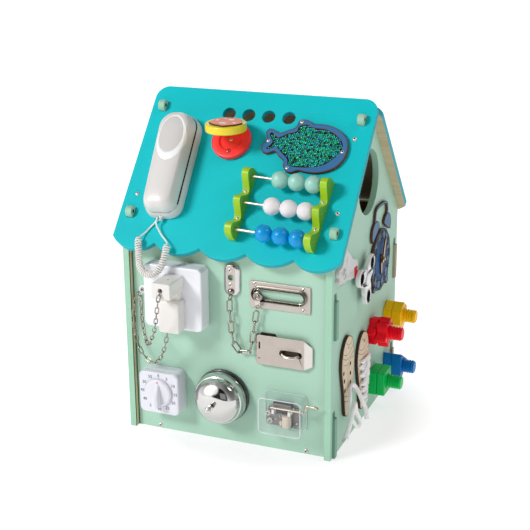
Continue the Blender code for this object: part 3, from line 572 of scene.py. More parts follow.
def place(name, parts, fr, body="house", replaces=(), smooth=32.0):
    """One piece from (mesh, look) or (mesh, top, side, under) parts."""
    bm = bmesh.new()
    mats = []

    def at(mat):
        if mat not in mats:
            mats.append(mat)
        return mats.index(mat)

    for me, *looks in parts:
        pick = looks.pop(0) if callable(looks[0]) else None
        ids = [at(x) for x in looks]
        if pick:
            which = [ids[pick(p)] for p in me.polygons]
        elif len(ids) == 1:
            which = [ids[0]] * len(me.polygons)
        else:
            under = ids[2] if len(ids) > 2 else ids[0]
            which = [ids[0] if p.normal.z > 0.75 else under if p.normal.z < -0.75 else ids[1]
                     for p in me.polygons]
        me.polygons.foreach_set("material_index", which)
        bm.from_mesh(me)
        bpy.data.meshes.remove(me)
    bm.transform(fr)
    me = bpy.data.meshes.new(name)
    bm.to_mesh(me)
    bm.free()
    for mat in mats:
        me.materials.append(mat)
    if smooth is not None:
        me.shade_smooth()
        me.set_sharp_from_angle(angle=math.radians(smooth))
        me = weighted(me)
        me.name = name
    ob = bpy.data.objects.new(name, me)
    bpy.context.scene.collection.objects.link(ob)
    if body:
        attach(ob, body)
    if replaces:
        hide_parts(*replaces)
    return ob


# ------------------------------------------------------------- 2D outlines
def circle(cx, cy, r, n=32):
    return [(cx + r * math.cos(2 * math.pi * i / n), cy + r * math.sin(2 * math.pi * i / n))
            for i in range(n)]


def rect(a0, a1, b0, b1):
    return [(a0, b0), (a1, b0), (a1, b1), (a0, b1)]


def rounded(poly, radius, n=6):
    out, m = [], len(poly)
    for i, p in enumerate(poly):
        r = radius[i] if isinstance(radius, (list, tuple)) else radius
        p0, p1, p2 = Vector(poly[i - 1]), Vector(p), Vector(poly[(i + 1) % m])
        a, b = (p0 - p1).normalized(), (p2 - p1).normalized()
        half = math.acos(max(-1.0, min(1.0, a.dot(b)))) / 2
        if r <= 0 or half > 1.5:
            out.append(tuple(p1))
            continue
        reach = r / math.tan(half)
        c = p1 + (a + b).normalized() * (r / math.sin(half))
        s, e = p1 + a * reach - c, p1 + b * reach - c
        t0 = math.atan2(s.y, s.x)
        dt = math.atan2(e.y, e.x) - t0
        dt = (dt + math.pi) % (2 * math.pi) - math.pi
        out += [(c.x + r * math.cos(t0 + dt * k / n), c.y + r * math.sin(t0 + dt * k / n))
                for k in range(n + 1)]
    return out


def stadium(a0, a1, b0, b1, n=12):
    r = min(a1 - a0, b1 - b0) / 2 - 0.001
    return rounded(rect(a0, a1, b0, b1), r, n)


def inset(loop, d):
    """Loop moved inwards by d along its own normals."""
    area = sum(a[0] * b[1] - b[0] * a[1] for a, b in zip(loop, loop[1:] + loop[:1]))
    out, n = [], len(loop)
    for i, p in enumerate(loop):
        a, b = Vector(loop[i - 1]), Vector(loop[(i + 1) % n])
        t = (b - a).normalized()
        k = Vector((-t.y, t.x)) * (1 if area > 0 else -1)
        out.append((p[0] + k.x * d, p[1] + k.y * d))
    return out


def resampled(loop, n):
    pts = [Vector(p) for p in loop] + [Vector(loop[0])]
    run = [0.0]
    for a, b in zip(pts, pts[1:]):
        run.append(run[-1] + (b - a).length)
    out, j = [], 0
    for k in range(n):
        want = run[-1] * k / n
        while run[j + 1] < want:
            j += 1
        t = (want - run[j]) / max(run[j + 1] - run[j], 1e-9)
        p = pts[j].lerp(pts[j + 1], t)
        out.append((p.x, p.y))
    return out


# ------------------------------------------------------------------- cords
def helix(route, radius, pitch, start, end, ease=5.0, per=16):
    """The route, coiled between two distances along it (mm)."""
    step = 0.4
    fine = smooth_path(route, step)
    fr = frames_along(fine)
    out, phase, run, last = [], 0.0, 0.0, -9.0
    for i, (p, (t, a, b)) in enumerate(zip(fine, fr)):
        if i:
            run += (p - fine[i - 1]).length
        grow = max(0.0, min(1.0, (run - start) / ease, (end - run) / ease))
        grow = grow * grow * (3 - 2 * grow)
        if start < run < end:
            n = 6
            for k in range(n):
                f = k / n
                q = fine[i].lerp(fine[min(i + 1, len(fine) - 1)], f)
                phase += 2 * math.pi * step / n / pitch
                out.append(q + (a * math.cos(phase) + b * math.sin(phase)) * (radius * grow))
        elif run - last > 1.5:
            out.append(p.copy())
            last = run
    out.append(fine[-1])
    return out


lead_a = [(-101.6, 204.6, 7.0), (-101.8, 206.8, 4.6), (-104.0, 210.4, 3.2), (-109.4, 218.1, 2.2),
          (-114.1, 226.6, 2.8), (-117.4, 232.6, 5.0)]
lead_b = [(-75.2, 241.0, 8.8), (-79.6, 236.3, 7.4), (-87.9, 229.3, 6.0), (-94.8, 222.0, 6.4),
          (-99.6, 214.4, 8.4), (-99.0, 207.0, 11.5)]
coil = [(-118.6, -160.8, 285.8), (-117.0, -166.0, 278.0), (-114.0, -171.0, 266.0),
        (-111.0, -176.0, 255.4), (-104.9, -180.0, 247.7), (-94.3, -182.0, 244.6),
        (-83.8, -182.0, 248.8), (-77.1, -180.0, 258.0), (-74.1, -176.0, 268.2),
        (-73.8, -170.6, 277.8), (-74.4, -166.4, 283.0)]


def length_of(pts):
    return sum((Vector(b) - Vector(a)).length for a, b in zip(pts, pts[1:]))


def cord_piece(name, pts, radius, mat, nodes, seg=10, body="house", flat=1.0):
    pts = [Vector(p) for p in pts]
    ob = place(name, [(tube(pts, radius, seg, flat=flat), mat)], WORLD, body, nodes, 60.0)
    return ob


PHONE_WHITE = plastic("phone_white", srgb(219, 216, 213), 0.36, 0.3, 0.02)
CORD_WHITE = strand("cord_white", srgb(238, 234, 230), 0.42)
route = [on_roof(*q) for q in lead_a] + coil + [on_roof(*q) for q in lead_b]
before = length_of(smooth_path([on_roof(*q) for q in lead_a] + coil[:1], 0.4))
whole = length_of(smooth_path(route, 0.4))
after = length_of(smooth_path(coil[-1:] + [on_roof(*q) for q in lead_b], 0.4))
curl = helix(route, 3.9, 3.1, before - 3.0, whole - after + 2.0)
cord_piece("phone_curly_cord", curl, 1.12, CORD_WHITE, ["phone_cord"],
           8)


def chain(route, pitch, long, wide, wire, seg=8, turn0=0.0, roll=0.12, seed=3):
    """Oval wire links along the route, each turned a quarter from the last."""
    rnd = random.Random(seed)
    pts = smooth_path(route, pitch)
    fr = frames_along(pts)
    meshes = []
    straight = long - wide
    r = (wide - wire) / 2
    base = []
    for k in range(28):
        t = 2 * math.pi * k / 28
        x = r * math.sin(t)
        y = r * math.cos(t) + (straight / 2 if math.cos(t) >= 0 else -straight / 2)
        base.append((x, y))
    base = resampled(base, 28)
    out_v, out_f = [], []
    for i in range(len(pts) - 1):
        mid = (pts[i] + pts[i + 1]) / 2
        t = (pts[i + 1] - pts[i]).normalized()
        a = (fr[i][1] - t * fr[i][1].dot(t)).normalized()
        b = t.cross(a)
        q = turn0 + (math.pi / 2) * (i % 2) + rnd.uniform(-roll, roll)
        a, b = a * math.cos(q) + b * math.sin(q), b * math.cos(q) - a * math.sin(q)
        loop = [mid + a * x + t * y for x, y in base]
        n, s = len(loop), len(out_v)
        for k, p in enumerate(loop):
            tan = (loop[(k + 1) % n] - loop[k - 1]).normalized()
            o = tan.cross(b).normalized()
            for j in range(seg):
                w = 2 * math.pi * j / seg
                out_v.append(p + (o * math.cos(w) + b * math.sin(w)) * (wire / 2))
        for k in range(n):
            m = (k + 1) % n
            for j in range(seg):
                l = (j + 1) % seg
                out_f.append((s + k * seg + j, s + k * seg + l, s + m * seg + l, s + m * seg + j))
    me = bpy.data.meshes.new("chain")
    me.from_pydata(out_v, [], out_f)
    return weld(me, 1e-6), pts


NICKEL = metal("nickel_plate", srgb(202, 194, 187), 0.22, (40, 900, 900), 0.04)
CHAIN_STEEL = metal("chain_steel", srgb(156, 145, 135), 0.15, None, 0.02)
hang = [(-65.0, -203.5, 232.6), (-65.0, -210.0, 231.0), (-65.6, -213.0, 226.5),
        (-66.8, -213.2, 218.0), (-69.2, -212.0, 206.0), (-73.7, -207.5, 189.5),
        (-79.8, -201.0, 173.7), (-88.5, -193.0, 158.0), (-95.0, -187.0, 148.0),
        (-101.5, -181.5, 145.0), (-109.4, -173.0, 154.6), (-116.4, -165.0, 171.1),
        (-121.4, -157.5, 189.7), (-124.0, -152.0, 201.5), (-127.6, -149.8, 205.4),
        (-131.6, -149.6, 198.0), (-135.6, -150.4, 184.0), (-137.2, -151.0, 163.0),
        (-135.0, -152.0, 147.4), (-131.0, -154.0, 132.4), (-122.9, -157.0, 118.3),
        (-112.3, -160.0, 111.7), (-101.5, -163.0, 109.6), (-90.8, -166.0, 118.0),
        (-83.2, -170.0, 132.5), (-76.8, -174.0, 148.1), (-72.4, -177.0, 164.4)]
links = [(6.8, -149.4, 210.4), (7.0, -149.4, 194.1), (8.4, -149.4, 175.8), (10.0, -149.4, 158.8),
         (14.0, -149.4, 144.2), (20.0, -149.4, 139.6), (29.0, -149.4, 138.8), (35.6, -149.4, 141.6),
         (38.4, -149.4, 153.0), (41.0, -149.4, 173.0), (43.6, -149.6, 189.0), (45.4, -150.0, 200.2)]
for name, way, pitch, long, wide, wire, node, turn0 in (
        ("plug_chain_links", hang, 9.0, 11.6, 6.0, 1.5, "plug_chain", 0.5),
        ("door_chain_links", links, 15.4, 19.2, 8.8, 2.0, "door_chain", 0.25)):
    me, pts = chain(way, pitch, long, wide, wire, 8, turn0)
    ob = place(name, [(me, CHAIN_STEEL)], WORLD, "house", [node], 60.0)
    [tuple(c * MM for c in p) for p in smooth_path(way, 2.0)]

LACE = strand("lace_white", srgb(255, 254, 254), 0.85, 0.3, 0.55)
bow = [(176.6, -74.0, 33.5), (174.0, -71.8, 48.1), (170.0, -75.7, 61.4), (166.0, -77.5, 71.9),
       (161.4, -78.0, 80.0), (158.4, -84.0, 86.0), (158.4, -94.0, 84.5), (161.4, -102.0, 77.0),
       (163.4, -107.4, 66.0), (164.0, -108.4, 56.0), (165.0, -103.0, 44.0), (166.2, -92.0, 31.0),
       (167.0, -83.0, 24.0), (167.6, -76.8, 27.6), (167.8, -80.5, 36.0), (167.4, -92.0, 50.0),
       (167.2, -96.4, 60.0), (168.2, -102.0, 68.0), (168.8, -109.0, 66.0), (168.4, -115.0, 54.0),
       (165.6, -119.6, 37.0), (163.6, -123.0, 24.0)]
bow_pts = smooth_path(bow, 2.0)
ob = place("shoe_lace_bow", [(tube(bow_pts, 3.2, 14, flat=0.8), LACE)], WORLD, "house",
           ["shoe_lace"], 60.0)

# ------------------------------------------------------------------- house
ROOF_HALF, ROOF_VALLEY, ROOF_LOW, ROOF_CORNER = 162.6, 239.0, 251.3, 19.0
PANEL_TOP, WINDOW_R, WINDOW_Z = 282.4, 45.0, 348.6
TENON_S, TENON_HALF = (33.0, 198.5), 7.5


def on_slope(side, s, h):
    return side * (s * CA + h * SA), RIDGE - s * SA + h * CA


def gable_loops():
    under = -PLY - GAP
    eave = RIDGE - DEPTH / 2 * SA / CA + under / CA
    pf = PANEL_FACE
    pts = [(-DEPTH / 2, 0), (-pf - 0.4, 0), (-pf - 0.4, 68), (-pf + PLY + 0.4, 68),
           (-pf + PLY + 0.4, 0), (pf - PLY - 0.4, 0), (pf - PLY - 0.4, 63),
           (pf + 0.4, 63), (pf + 0.4, 0), (DEPTH / 2, 0), (DEPTH / 2, eave)]
    up = []
    for s0 in sorted(TENON_S, reverse=True):
        up.append((s0 + TENON_HALF, under))
        up += [(s0 + TENON_HALF * math.cos(math.pi * k / 16),
                3.0 + TENON_HALF * math.sin(math.pi * k / 16)) for k in range(17)]
        up.append((s0 - TENON_HALF, under))
    pts += [on_slope(1, s, h) for s, h in up]
    pts.append((0.0, RIDGE + under / CA))
    pts += [on_slope(-1, s, h) for s, h in reversed(up)]
    pts.append((-DEPTH / 2, eave))
    holes = [circle(0, WINDOW_Z, WINDOW_R, 72), rect(-pf - 0.4, -pf + PLY + 0.4, 170, 234),
             rect(pf - PLY - 0.4, pf + 0.4, 168, 230)]
    for side in (-1, 1):
        for s0 in TENON_S:
            holes.append(circle(*on_slope(side, s0, 4.0), 2.6, 16))
    return [pts] + holes


def panel(low, high0, high1, end):
    """Panel between the gable walls, with two tabs through each of them."""
    a, b = INNER - GAP, WIDTH / 2 + 3.5
    parts = [(slab([rect(-a, a, 0, PANEL_TOP)], -PLY, 0, 0.4), MINT, MINT_EDGE, INSIDE_SHADED_PLY)]
    for u0, u1 in ((-b, 0.2 - a), (a - 0.2, b)):
        for z0, z1 in ((0.0, low), (high0, high1)):
            parts.append((box(u0, u1, z0, z1, -PLY, 0.0, 0.4, 2), end))
    return parts


def roof_loop(top):
    h, c = ROOF_HALF, ROOF_CORNER
    pts = [(-h, -235.0)]
    pts += [(-h + c - c * math.cos(t), -top - c + c * math.sin(t))
            for t in [math.pi / 2 * k / 14 for k in range(15)]]
    pts += [(h - c + c * math.sin(t), -top - c + c * math.cos(t))
            for t in [math.pi / 2 * k / 14 for k in range(15)]]
    marks = [(h, 235.0), (98.7, ROOF_VALLEY), (32.6, ROOF_VALLEY), (-33.0, ROOF_VALLEY),
             (-98.9, ROOF_VALLEY), (-h, 235.0)]
    for (xa, sa), (xb, sb) in zip(marks, marks[1:]):
        mid, drop = (sa + sb) / 2, ROOF_LOW - (sa + sb) / 2
        half = (xa - xb) / 2
        r = (half * half + drop * drop) / (2 * drop)
        phi = math.asin(half / r)
        for k in range(24):
            t = phi - 2 * phi * k / 24
            lin = sa + (sb - sa) * k / 24 - mid
            pts.append(((xa + xb) / 2 + r * math.sin(t), -(mid + lin + r * math.cos(t) - (r - drop))))
    return pts


def tenon_slots():
    a, b = INNER - 0.4, WIDTH / 2 + 0.4
    return [rect(x0, x1, -s0 - TENON_HALF - 0.4, -s0 + TENON_HALF + 0.4)
            for s0 in TENON_S for x0, x1 in ((-b, -a), (a, b))]


place("right_wall_board", [(slab(gable_loops(), -PLY, 0, 0.5), MINT, MINT_EDGE, INSIDE_SHADED_PLY)], RIGHT,
      replaces=["right_wall"])
wall = slab(gable_loops(), -PLY, 0, 0.5)
place("left_wall_board", [(wall, INSIDE_SHADED_PLY, MINT_EDGE, MINT)], LEFT_IN, replaces=["left_wall"])
# the left wall's inner face is bare beside the front panel; a dark green strip in the corner against the panel is
# painted shadow
BARE = raw_wood("bare_ply_strip", (212, 202, 164), (190, 172, 128), GRAIN_Z)
CORNER_SHADOW_PAINT = painted_wood("corner_painted_shadow", srgb(58, 112, 88), GRAIN_Z, 0.7, 0.1, 0.1)
place("left_wall_bare_strip", [(box(-147.4, -142.2, 0.4, 281.0, 0.0, 0.12), BARE),
                               (box(-142.2, -PANEL_FACE - 0.05, 0.4, 281.0, 0.0, 0.12), CORNER_SHADOW_PAINT)], LEFT_IN)
# painted shadow down the front panel's left edge, in the corner beside the left wall
place("panel_corner_painted_shadow", [(box(0.1 - INNER, 1.5 - INNER, 0.4, 281.0, -0.3, 0.06), CORNER_SHADOW_PAINT)], FRONT)


def tenon_caps(deep):
    """Paint on the inner face of the tenons that stand out of the roof, with painted shade filling their peg holes."""
    caps = []
    for side in (-1, 1):
        for s0 in TENON_S:
            edge = [(s0 + TENON_HALF - 0.3, 0.1)]
            edge += [(s0 + (TENON_HALF - 0.3) * math.cos(math.pi * k / 16),
                      3.0 + (TENON_HALF - 0.3) * math.sin(math.pi * k / 16)) for k in range(17)]
            edge.append((s0 - TENON_HALF + 0.3, 0.1))
            caps.append((slab([[on_slope(side, *q) for q in edge],
                               circle(*on_slope(side, s0, 4.0), 2.6, 16)], 0.0, 0.12), MINT))
            caps.append((shift(rod(2.55, 0.0, deep, 20), *on_slope(side, s0, 4.0), 0.0), RECESS_SHADE_PAINT))
    return caps


place("left_tenon_paint", tenon_caps(0.08), LEFT_IN)
place("right_tenon_paint", tenon_caps(8.7), moved(RIGHT, 0, 0, -PLY - 0.12))
MINT_END = ply_edge("mint_end_grain", (0, 1, 0), (146, 192, 170), (118, 162, 142))
RAW_END = ply_edge("raw_end_grain", (0, 1, 0), (182, 174, 148), (158, 150, 124))
place("front_panel_board", panel(58, 170.3, 224, MINT_END), FRONT, replaces=["front_panel"])
place("back_panel_board", panel(53, 168.3, 220, RAW_END), BACK, replaces=["back_panel"])
floor_y = PANEL_FACE - PLY - GAP
place("floor_board", [(slab([rect(-INNER + GAP, INNER - GAP, -floor_y, floor_y)], 0, PLY, 0.4),
                       INSIDE_SHADED_PLY, EDGE_X)], WORLD, replaces=["floor_panel"])
round_holes = [circle(x, -37.0, 9.3, 40) for x in (-44.6, -15.6, 13.6, 43.0)]
place("roof_front_board", [(slab([roof_loop(0.0)] + tenon_slots() + round_holes, -PLY, 0, 0.7),
                            TURQ, TURQ_EDGE, UNDER)], ROOF, replaces=["roof_front"])
place("roof_back_board", [(slab([roof_loop(10.9)] + tenon_slots(), -PLY, 0, 0.7), TURQ, TURQ_EDGE,
                           UNDER)], ROOF_B, replaces=["roof_back"])


def screw(r=2.9, h=1.5, seg=24):
    head = lathe([(0, 0), (r, 0), (r, 0.35 * h), (r * 0.86, 0.75 * h), (r * 0.6, h), (r * 0.42, h),
                  (r * 0.38, 0.4 * h), (0, 0.3 * h)], seg)
    cross = [box(-r * 0.62, r * 0.62, -0.4, 0.4, h * 0.5, h + 1),
             box(-0.4, 0.4, -r * 0.62, r * 0.62, h * 0.5, h + 1)]
    return cut(head, *cross)


def screws(name, spots, fr, r=2.9, h=1.5, seed=1, body="house"):
    rnd = random.Random(seed)
    parts = []
    for u, v, w in spots:
        me = turn(screw(r, h), rnd.uniform(0, 90))
        parts.append((shift(me, u, v, w), SCREW))
        # the dark rod in the cross recess is painted shade
        parts.append((rod(r * 0.41, 0.02, h * 0.62, 16), RECESS_SHADE_PAINT))
        shift(parts[-1][0], u, v, w)
    return place(name, parts, fr, body)


screws("roof_screws", [(-144.9, -170.3, 0.02), (142.4, -169.6, 0.02), (141.1, -61.2, 0.02)], ROOF, 3.0)
screws("panel_screws", [(-106.5, 4.6, 0.02), (112.6, 4.6, 0.02)], FRONT, 3.0)
screws("wall_screws", [(-96.7, 4.6, 0.02), (96.7, 4.6, 0.02)], RIGHT, 3.0)

# ------------------------------------------------------------------- phone
PHONE = moved(ROOF, -101.0, -127.0, 0, math.radians(3.4))
SEAM = 15.5


def phone_ring(top, bottom, v0, v1, r_top, r_bot, n=96):
    return resampled(rounded([(-top, v0), (top, v0), (bottom, v1), (-bottom, v1)],
                             [r_top, r_top, r_bot, r_bot], 10), n)


def shrunk(loop, d, h, cx=0.0, cy=0.0):
    hx = max(abs(a - cx) for a, _ in loop)
    hy = max(abs(b - cy) for _, b in loop)
    return [(cx + (a - cx) * (hx - d) / hx, cy + (b - cy) * (hy - d) / hy, h) for a, b in loop]


base_loop = phone_ring(29.6, 26.4, 77, -77, 25, 18)
rings = [shrunk(base_loop, 1.2, 0.3), shrunk(base_loop, 0.3, 0.9), shrunk(base_loop, 0, 2.0),
         shrunk(base_loop, 0.3, 8.4), shrunk(base_loop, 0.7, 10.4), shrunk(base_loop, 1.6, 13.0),
         shrunk(base_loop, 2.1, 13.9), shrunk(base_loop, 2.5, 14.1), shrunk(base_loop, 2.8, 13.7),
         shrunk(base_loop, 3.0, 12.0)]
SEAM_DARK = Mat("seam_shadow", srgb(34, 33, 32), 0.8).mat
place("phone_cradle_shell", [(ringed(rings), PHONE_WHITE),
                             (ringed([shrunk(base_loop, 2.9, 12.5), shrunk(base_loop, 2.95, 13.8),
                                      shrunk(base_loop, 5.2, 16.8)]),
                              lambda p: 1 if p.center.y < -62.0 else 0, SEAM_DARK, PHONE_WHITE)],
      PHONE, replaces=["phone_cradle"], smooth=50)
hand_loop = phone_ring(26.6, 23.4, 73.5, -75, 23, 15)
prof = [(1.2, 16.4), (0.3, 16.8), (0.0, 17.8), (0.25, 20.0), (1.2, 24.0), (2.6, 28.0), (4.2, 31.2),
        (5.6, 33.2), (6.4, 34.0), (7.0, 34.35), (7.8, 34.7), (9.6, 35.4), (12.0, 36.0), (15.0, 36.5),
        (19.0, 36.85), (23.0, 37.0), (25.2, 37.0)]
handset = ringed([shrunk(hand_loop, d, h) for d, h in prof])
over = BVHTree.FromPolygons([v.co.copy() for v in handset.vertices],
                            [tuple(p.vertices) for p in handset.polygons])


def drape(me, tree, lift):
    """Lay a flat mesh on what is under it; its own height is kept above."""
    for v in me.vertices:
        hit = tree.ray_cast(Vector((v.co.x, v.co.y, 200.0)), Vector((0, 0, -1)))
        if hit[0] is not None:
            v.co.z = hit[0].z + lift + v.co.z
    return me


def band(outer, inner, rows=6, h=0.35, rim=0.25):
    """Strip between two loops with its rims rolled down."""
    rings = []
    for k in range(rows + 1):
        t = k / rows
        z = h * min(1.0, math.sin(math.pi * t) * 2.2) if 0 < t < 1 else -rim
        rings.append([(a[0] + (b[0] - a[0]) * t, a[1] + (b[1] - a[1]) * t, z)
                      for a, b in zip(outer, inner)])
    return ringed(rings, (False, False))


outer = [(2.0 + 20.5 * math.cos(t), 27.0 + (36.0 if math.sin(t) > 0 else 33.5) * math.sin(t))
         for t in [2 * math.pi * k / 96 for k in range(96)]]
inner = [(1.0 + 16.6 * math.cos(t), 31.5 + (29.0 if math.sin(t) > 0 else 25.5) * math.sin(t))
         for t in [2 * math.pi * k / 96 for k in range(96)]]
PHONE_GLOSS = plastic("phone_gloss", srgb(250, 250, 250), 0.12, 0.8, 0.0)
PHONE_PANEL = plastic("phone_panel", srgb(206, 203, 200), 0.4, 0.2, 0.02)
crest = drape(band(outer, inner, 10, 0.55), over, 0.0)
disc_rings = []
for k in range(9):
    t = k / 8
    disc_rings.append([(1.0 + (a - 1.0) * (1 - t) * 0.985, 31.5 + (b - 31.5) * (1 - t) * 0.985, 0.12)
                       for a, b in inner])
disc = drape(ringed(disc_rings, (False, True)), over, 0.0)
slots = []
for k in range(3):
    slots.append((drape(slab([stadium(13.0 + 3.1 * k, 14.6 + 3.1 * k, 44.0 - 3.0 * k, 58.0 - 4.4 * k, 6)],
                             -0.3, 0.5, 0.2, 1), over, 0.0), PHONE_WHITE))
place("phone_handset_shell", [(handset, PHONE_WHITE), (crest, PHONE_GLOSS), (disc, PHONE_PANEL)]
      + slots, PHONE, "handset", ["phone_handset"], smooth=40)
# strain relief at the bottom of the cradle, where the two leads come out
relief = lathe([(0, 0), (3.3, 0), (3.3, 2.0), (2.6, 3.4), (2.9, 3.8), (2.9, 5.0), (2.3, 6.2),
                (2.5, 6.6), (2.4, 8.2), (1.7, 9.6), (0, 9.6)], 20)
turn(relief, 90, "X")
place("phone_strain_relief", [(shift(relief, 0.2, -73.0, 6.4), PHONE_WHITE)], PHONE, smooth=40)


def annulus(r0, r1, w0, w1, u=0.0, v=0.0, edge=0.0, seg=48):
    e = min(edge, (w1 - w0) / 2.1)
    return lathe([(r0, w0), (r1, w0), (r1, w1 - e), (r1 - e, w1), (r0 + e, w1), (r0, w1 - e)],
                 seg, True, u, v)


def ring(big, small, u=0.0, v=0.0, w=0.0, seg=40, n=10):
    return lathe([(big + small * math.cos(2 * math.pi * k / n), small * math.sin(2 * math.pi * k / n))
                  for k in range(n)], seg, True, u, v, w)


def letters(text, size, u, v, w, depth=0.14, bold=0.0):
    cu = bpy.data.curves.new("mark", "FONT")
    cu.body, cu.size, cu.extrude = text, size, depth / 2
    cu.align_x, cu.align_y, cu.resolution_u = "CENTER", "CENTER", 3
    cu.offset = bold
    me = baked(temp(cu))
    bpy.data.curves.remove(cu)
    return shift(me, u, v, w)


# ---------------------------------------------------------------- castanet
CAST = moved(ROOF, -28.0, -80.0)
CAST_RED = painted_wood("castanet_red", srgb(255, 54, 56), (160, 500, 500), 0.36, 0.12, 0.05, 0.2, 0.0, 0.3)
CAST_BALL = plastic("castanet_ball", srgb(188, 16, 40), 0.14, 0.8, 0.0)
CAST_YELLOW = painted_wood("castanet_yellow", srgb(240, 216, 30), (160, 500, 500), 0.38, 0.12, 0.05, 0.3)
PATCH_TOP = painted_wood("patch_salmon", srgb(238, 142, 112), (240, 240, 60), 0.55, 0.2, 0.08)
PATCH_SPOT = painted_wood("patch_white", srgb(240, 238, 240), (300, 300, 300), 0.5, 0.1, 0.03)
PATCH_LILAC = painted_wood("patch_lilac", srgb(206, 138, 170), (300, 300, 300), 0.5, 0.1, 0.03)
BURNT = ply_edge("burnt_edge", (0, 0, 1), (120, 76, 44), (70, 40, 22), 4.0, 0.55)
BRASS = metal("brass_screw", srgb(196, 168, 104), 0.3)
shell = lathe([(0, 5.2), (14.6, 5.2), (15.5, 5.5), (16.1, 6.4), (16.6, 7.5), (17.3, 8.0), (21.2, 8.05),
               (25.6, 8.0), (27.0, 7.6), (27.8, 6.8), (28.0, 5.8), (28.0, 2.2), (27.6, 1.0),
               (26.5, 0.3), (0, 0.3)], 72)
ball = lathe([(0, 10.4), (1.2, 10.25), (2.3, 9.8), (3.2, 9.0), (3.8, 8.0), (3.95, 6.9), (3.7, 5.6),
              (3.4, 4.9), (0, 4.9)], 32, False, 1.0, -18.2)
place("castanet_base_shell", [(shell, CAST_RED), (ball, CAST_BALL)], CAST,
      replaces=["castanet_base"], smooth=38)
# the dark rod in the screw's recess is painted shade
place("castanet_screw", [(shift(screw(2.6, 1.3), -0.8, 0.9, 5.22), BRASS),
                         (rod(1.2, 5.22, 5.6, 12, 0.0), RECESS_SHADE_PAINT)], CAST)
LID = (CAST @ Matrix.Translation((0.0, 20.5, 8.6)) @ Matrix.Rotation(math.radians(-46.0), 4, "X")
       @ Matrix.Translation((0, -28.0, 0)))
lid = lathe([(0, 11.6), (25.6, 11.6), (27.0, 11.2), (27.8, 10.4), (28.0, 9.4), (28.0, 2.4),
             (27.7, 1.4), (27.0, 0.7), (26.0, 0.4), (17.3, 0.4), (16.4, 0.9), (15.5, 2.6),
             (14.6, 3.4), (0, 3.4)], 72)
wavy = [((20.4 + 1.0 * math.cos(5 * t + 0.7) + 0.5 * math.cos(9 * t)) * math.cos(t) * 1.08,
         (20.4 + 1.0 * math.cos(5 * t + 0.7) + 0.5 * math.cos(9 * t)) * math.sin(t))
        for t in [2 * math.pi * k / 120 for k in range(120)]]
patch = [(slab([wavy], 11.5, 13.9, 0.3, 1), PATCH_TOP, BURNT, BURNT)]
for u, v, a, b in ((-1.5, -9.0, 5.6, 2.6), (13.4, -4.6, 2.6, 1.8), (-14.0, 3.6, 3.0, 2.2),
                   (3.6, 9.4, 4.4, 2.6), (-7.0, 15.0, 2.4, 1.6)):
    patch.append((slab([[(u + a * math.cos(t), v + b * math.sin(t))
                         for t in [2 * math.pi * k / 32 for k in range(32)]]], 13.8, 14.05), PATCH_SPOT))
for u, v, r in ((8.0, -13.0, 1.1), (-9.8, -3.0, 1.4), (4.0, 0.6, 1.2), (15.0, 6.0, 1.2), (-3.0, 4.4, 0.9),
                (-16.4, -6.0, 0.9)):
    patch.append((slab([circle(u, v, r, 20)], 13.8, 14.02), PATCH_LILAC))
for me, *_ in patch:
    shift(me, 2.0, -2.6, 0)
place("castanet_lid_shell", [(lid, CAST_YELLOW)] + patch, LID, "castanet_top",
      ["castanet_lid"], smooth=38)

# ------------------------------------------------------------- sequin fish
FISH_BLUE = painted_wood("fish_blue", srgb(50, 108, 160), (260, 260, 260), 0.6, 0.3, 0.1, 0.0, 0.0, 0.3)
FISH_SIDE = ply_edge("fish_burnt", ROOF_N, (150, 96, 54), (84, 48, 26), 5.0, 0.35)
SEQUIN_BED = Mat("sequin_bed", srgb(8, 22, 20), 0.9).mat
fish_ctrl = [(17, 86), (19, 92), (27, 95), (37, 91), (44, 97), (53, 104), (54, 111),
             (59, 118), (67, 120), (76, 116), (88, 117.5), (104, 117), (120, 111),
             (131, 101), (136.5, 86), (135, 70), (128, 59), (113, 49), (97, 45.5),
             (82, 45.5), (77, 42.5), (69, 40), (61, 43), (58, 53), (48, 58), (38, 63),
             (30, 59), (22, 58), (18.5, 64), (22.5, 74), (18, 80)]
field = [(26, 63), (32, 67), (38, 70), (48, 64), (61, 59), (62, 53), (64, 50), (69, 48), (75, 48),
         (80, 51), (90, 52), (102, 53), (117, 60), (127, 70), (129, 80), (124, 90), (112, 103),
         (97, 109), (82, 111), (67, 111), (60, 108), (58, 101), (50, 94), (42, 87), (37, 83),
         (31, 88), (25, 88), (26, 85), (29, 82), (31, 76), (25, 68)]
fish_loop = smooth_loop([(x, -s) for x, s in fish_ctrl], 5)
field_loop = smooth_loop([(x, -s) for x, s in field], 4)
place("fish_board", [(slab([fish_loop, field_loop], 0.3, 5.0, 0.25, 1), FISH_BLUE, FISH_SIDE, FISH_SIDE),
                     (slab([inset(fish_loop, 1.2)], 0.32, 2.0), SEQUIN_BED)], ROOF,
      replaces=["fish_panel"])
place("fish_burnt_line", [(slab([inset(fish_loop, 0.0), inset(fish_loop, 1.1)], 4.9, 5.05),
                           FISH_SIDE)], ROOF)


def inside(p, loop):
    odd = False
    for (xa, ya), (xb, yb) in zip(loop, loop[1:] + loop[:1]):
        if (ya > p[1]) != (yb > p[1]) and p[0] < xa + (p[1] - ya) / (yb - ya) * (xb - xa):
            odd = not odd
    return odd


def sequin_look(name, rgb):
    m = Mat(name, rgb, 0.3, metal=0.3, coat=0.15, coat_rough=0.15, spec=0.3)
    m.colour(m.tone(m.span(m.noise(420.0, 2.0), 0.35, 0.65), 0.35, 1.25))
    m.roughness(m.span(m.noise(900.0), 0.3, 0.7, 0.2, 0.42))
    return m.mat


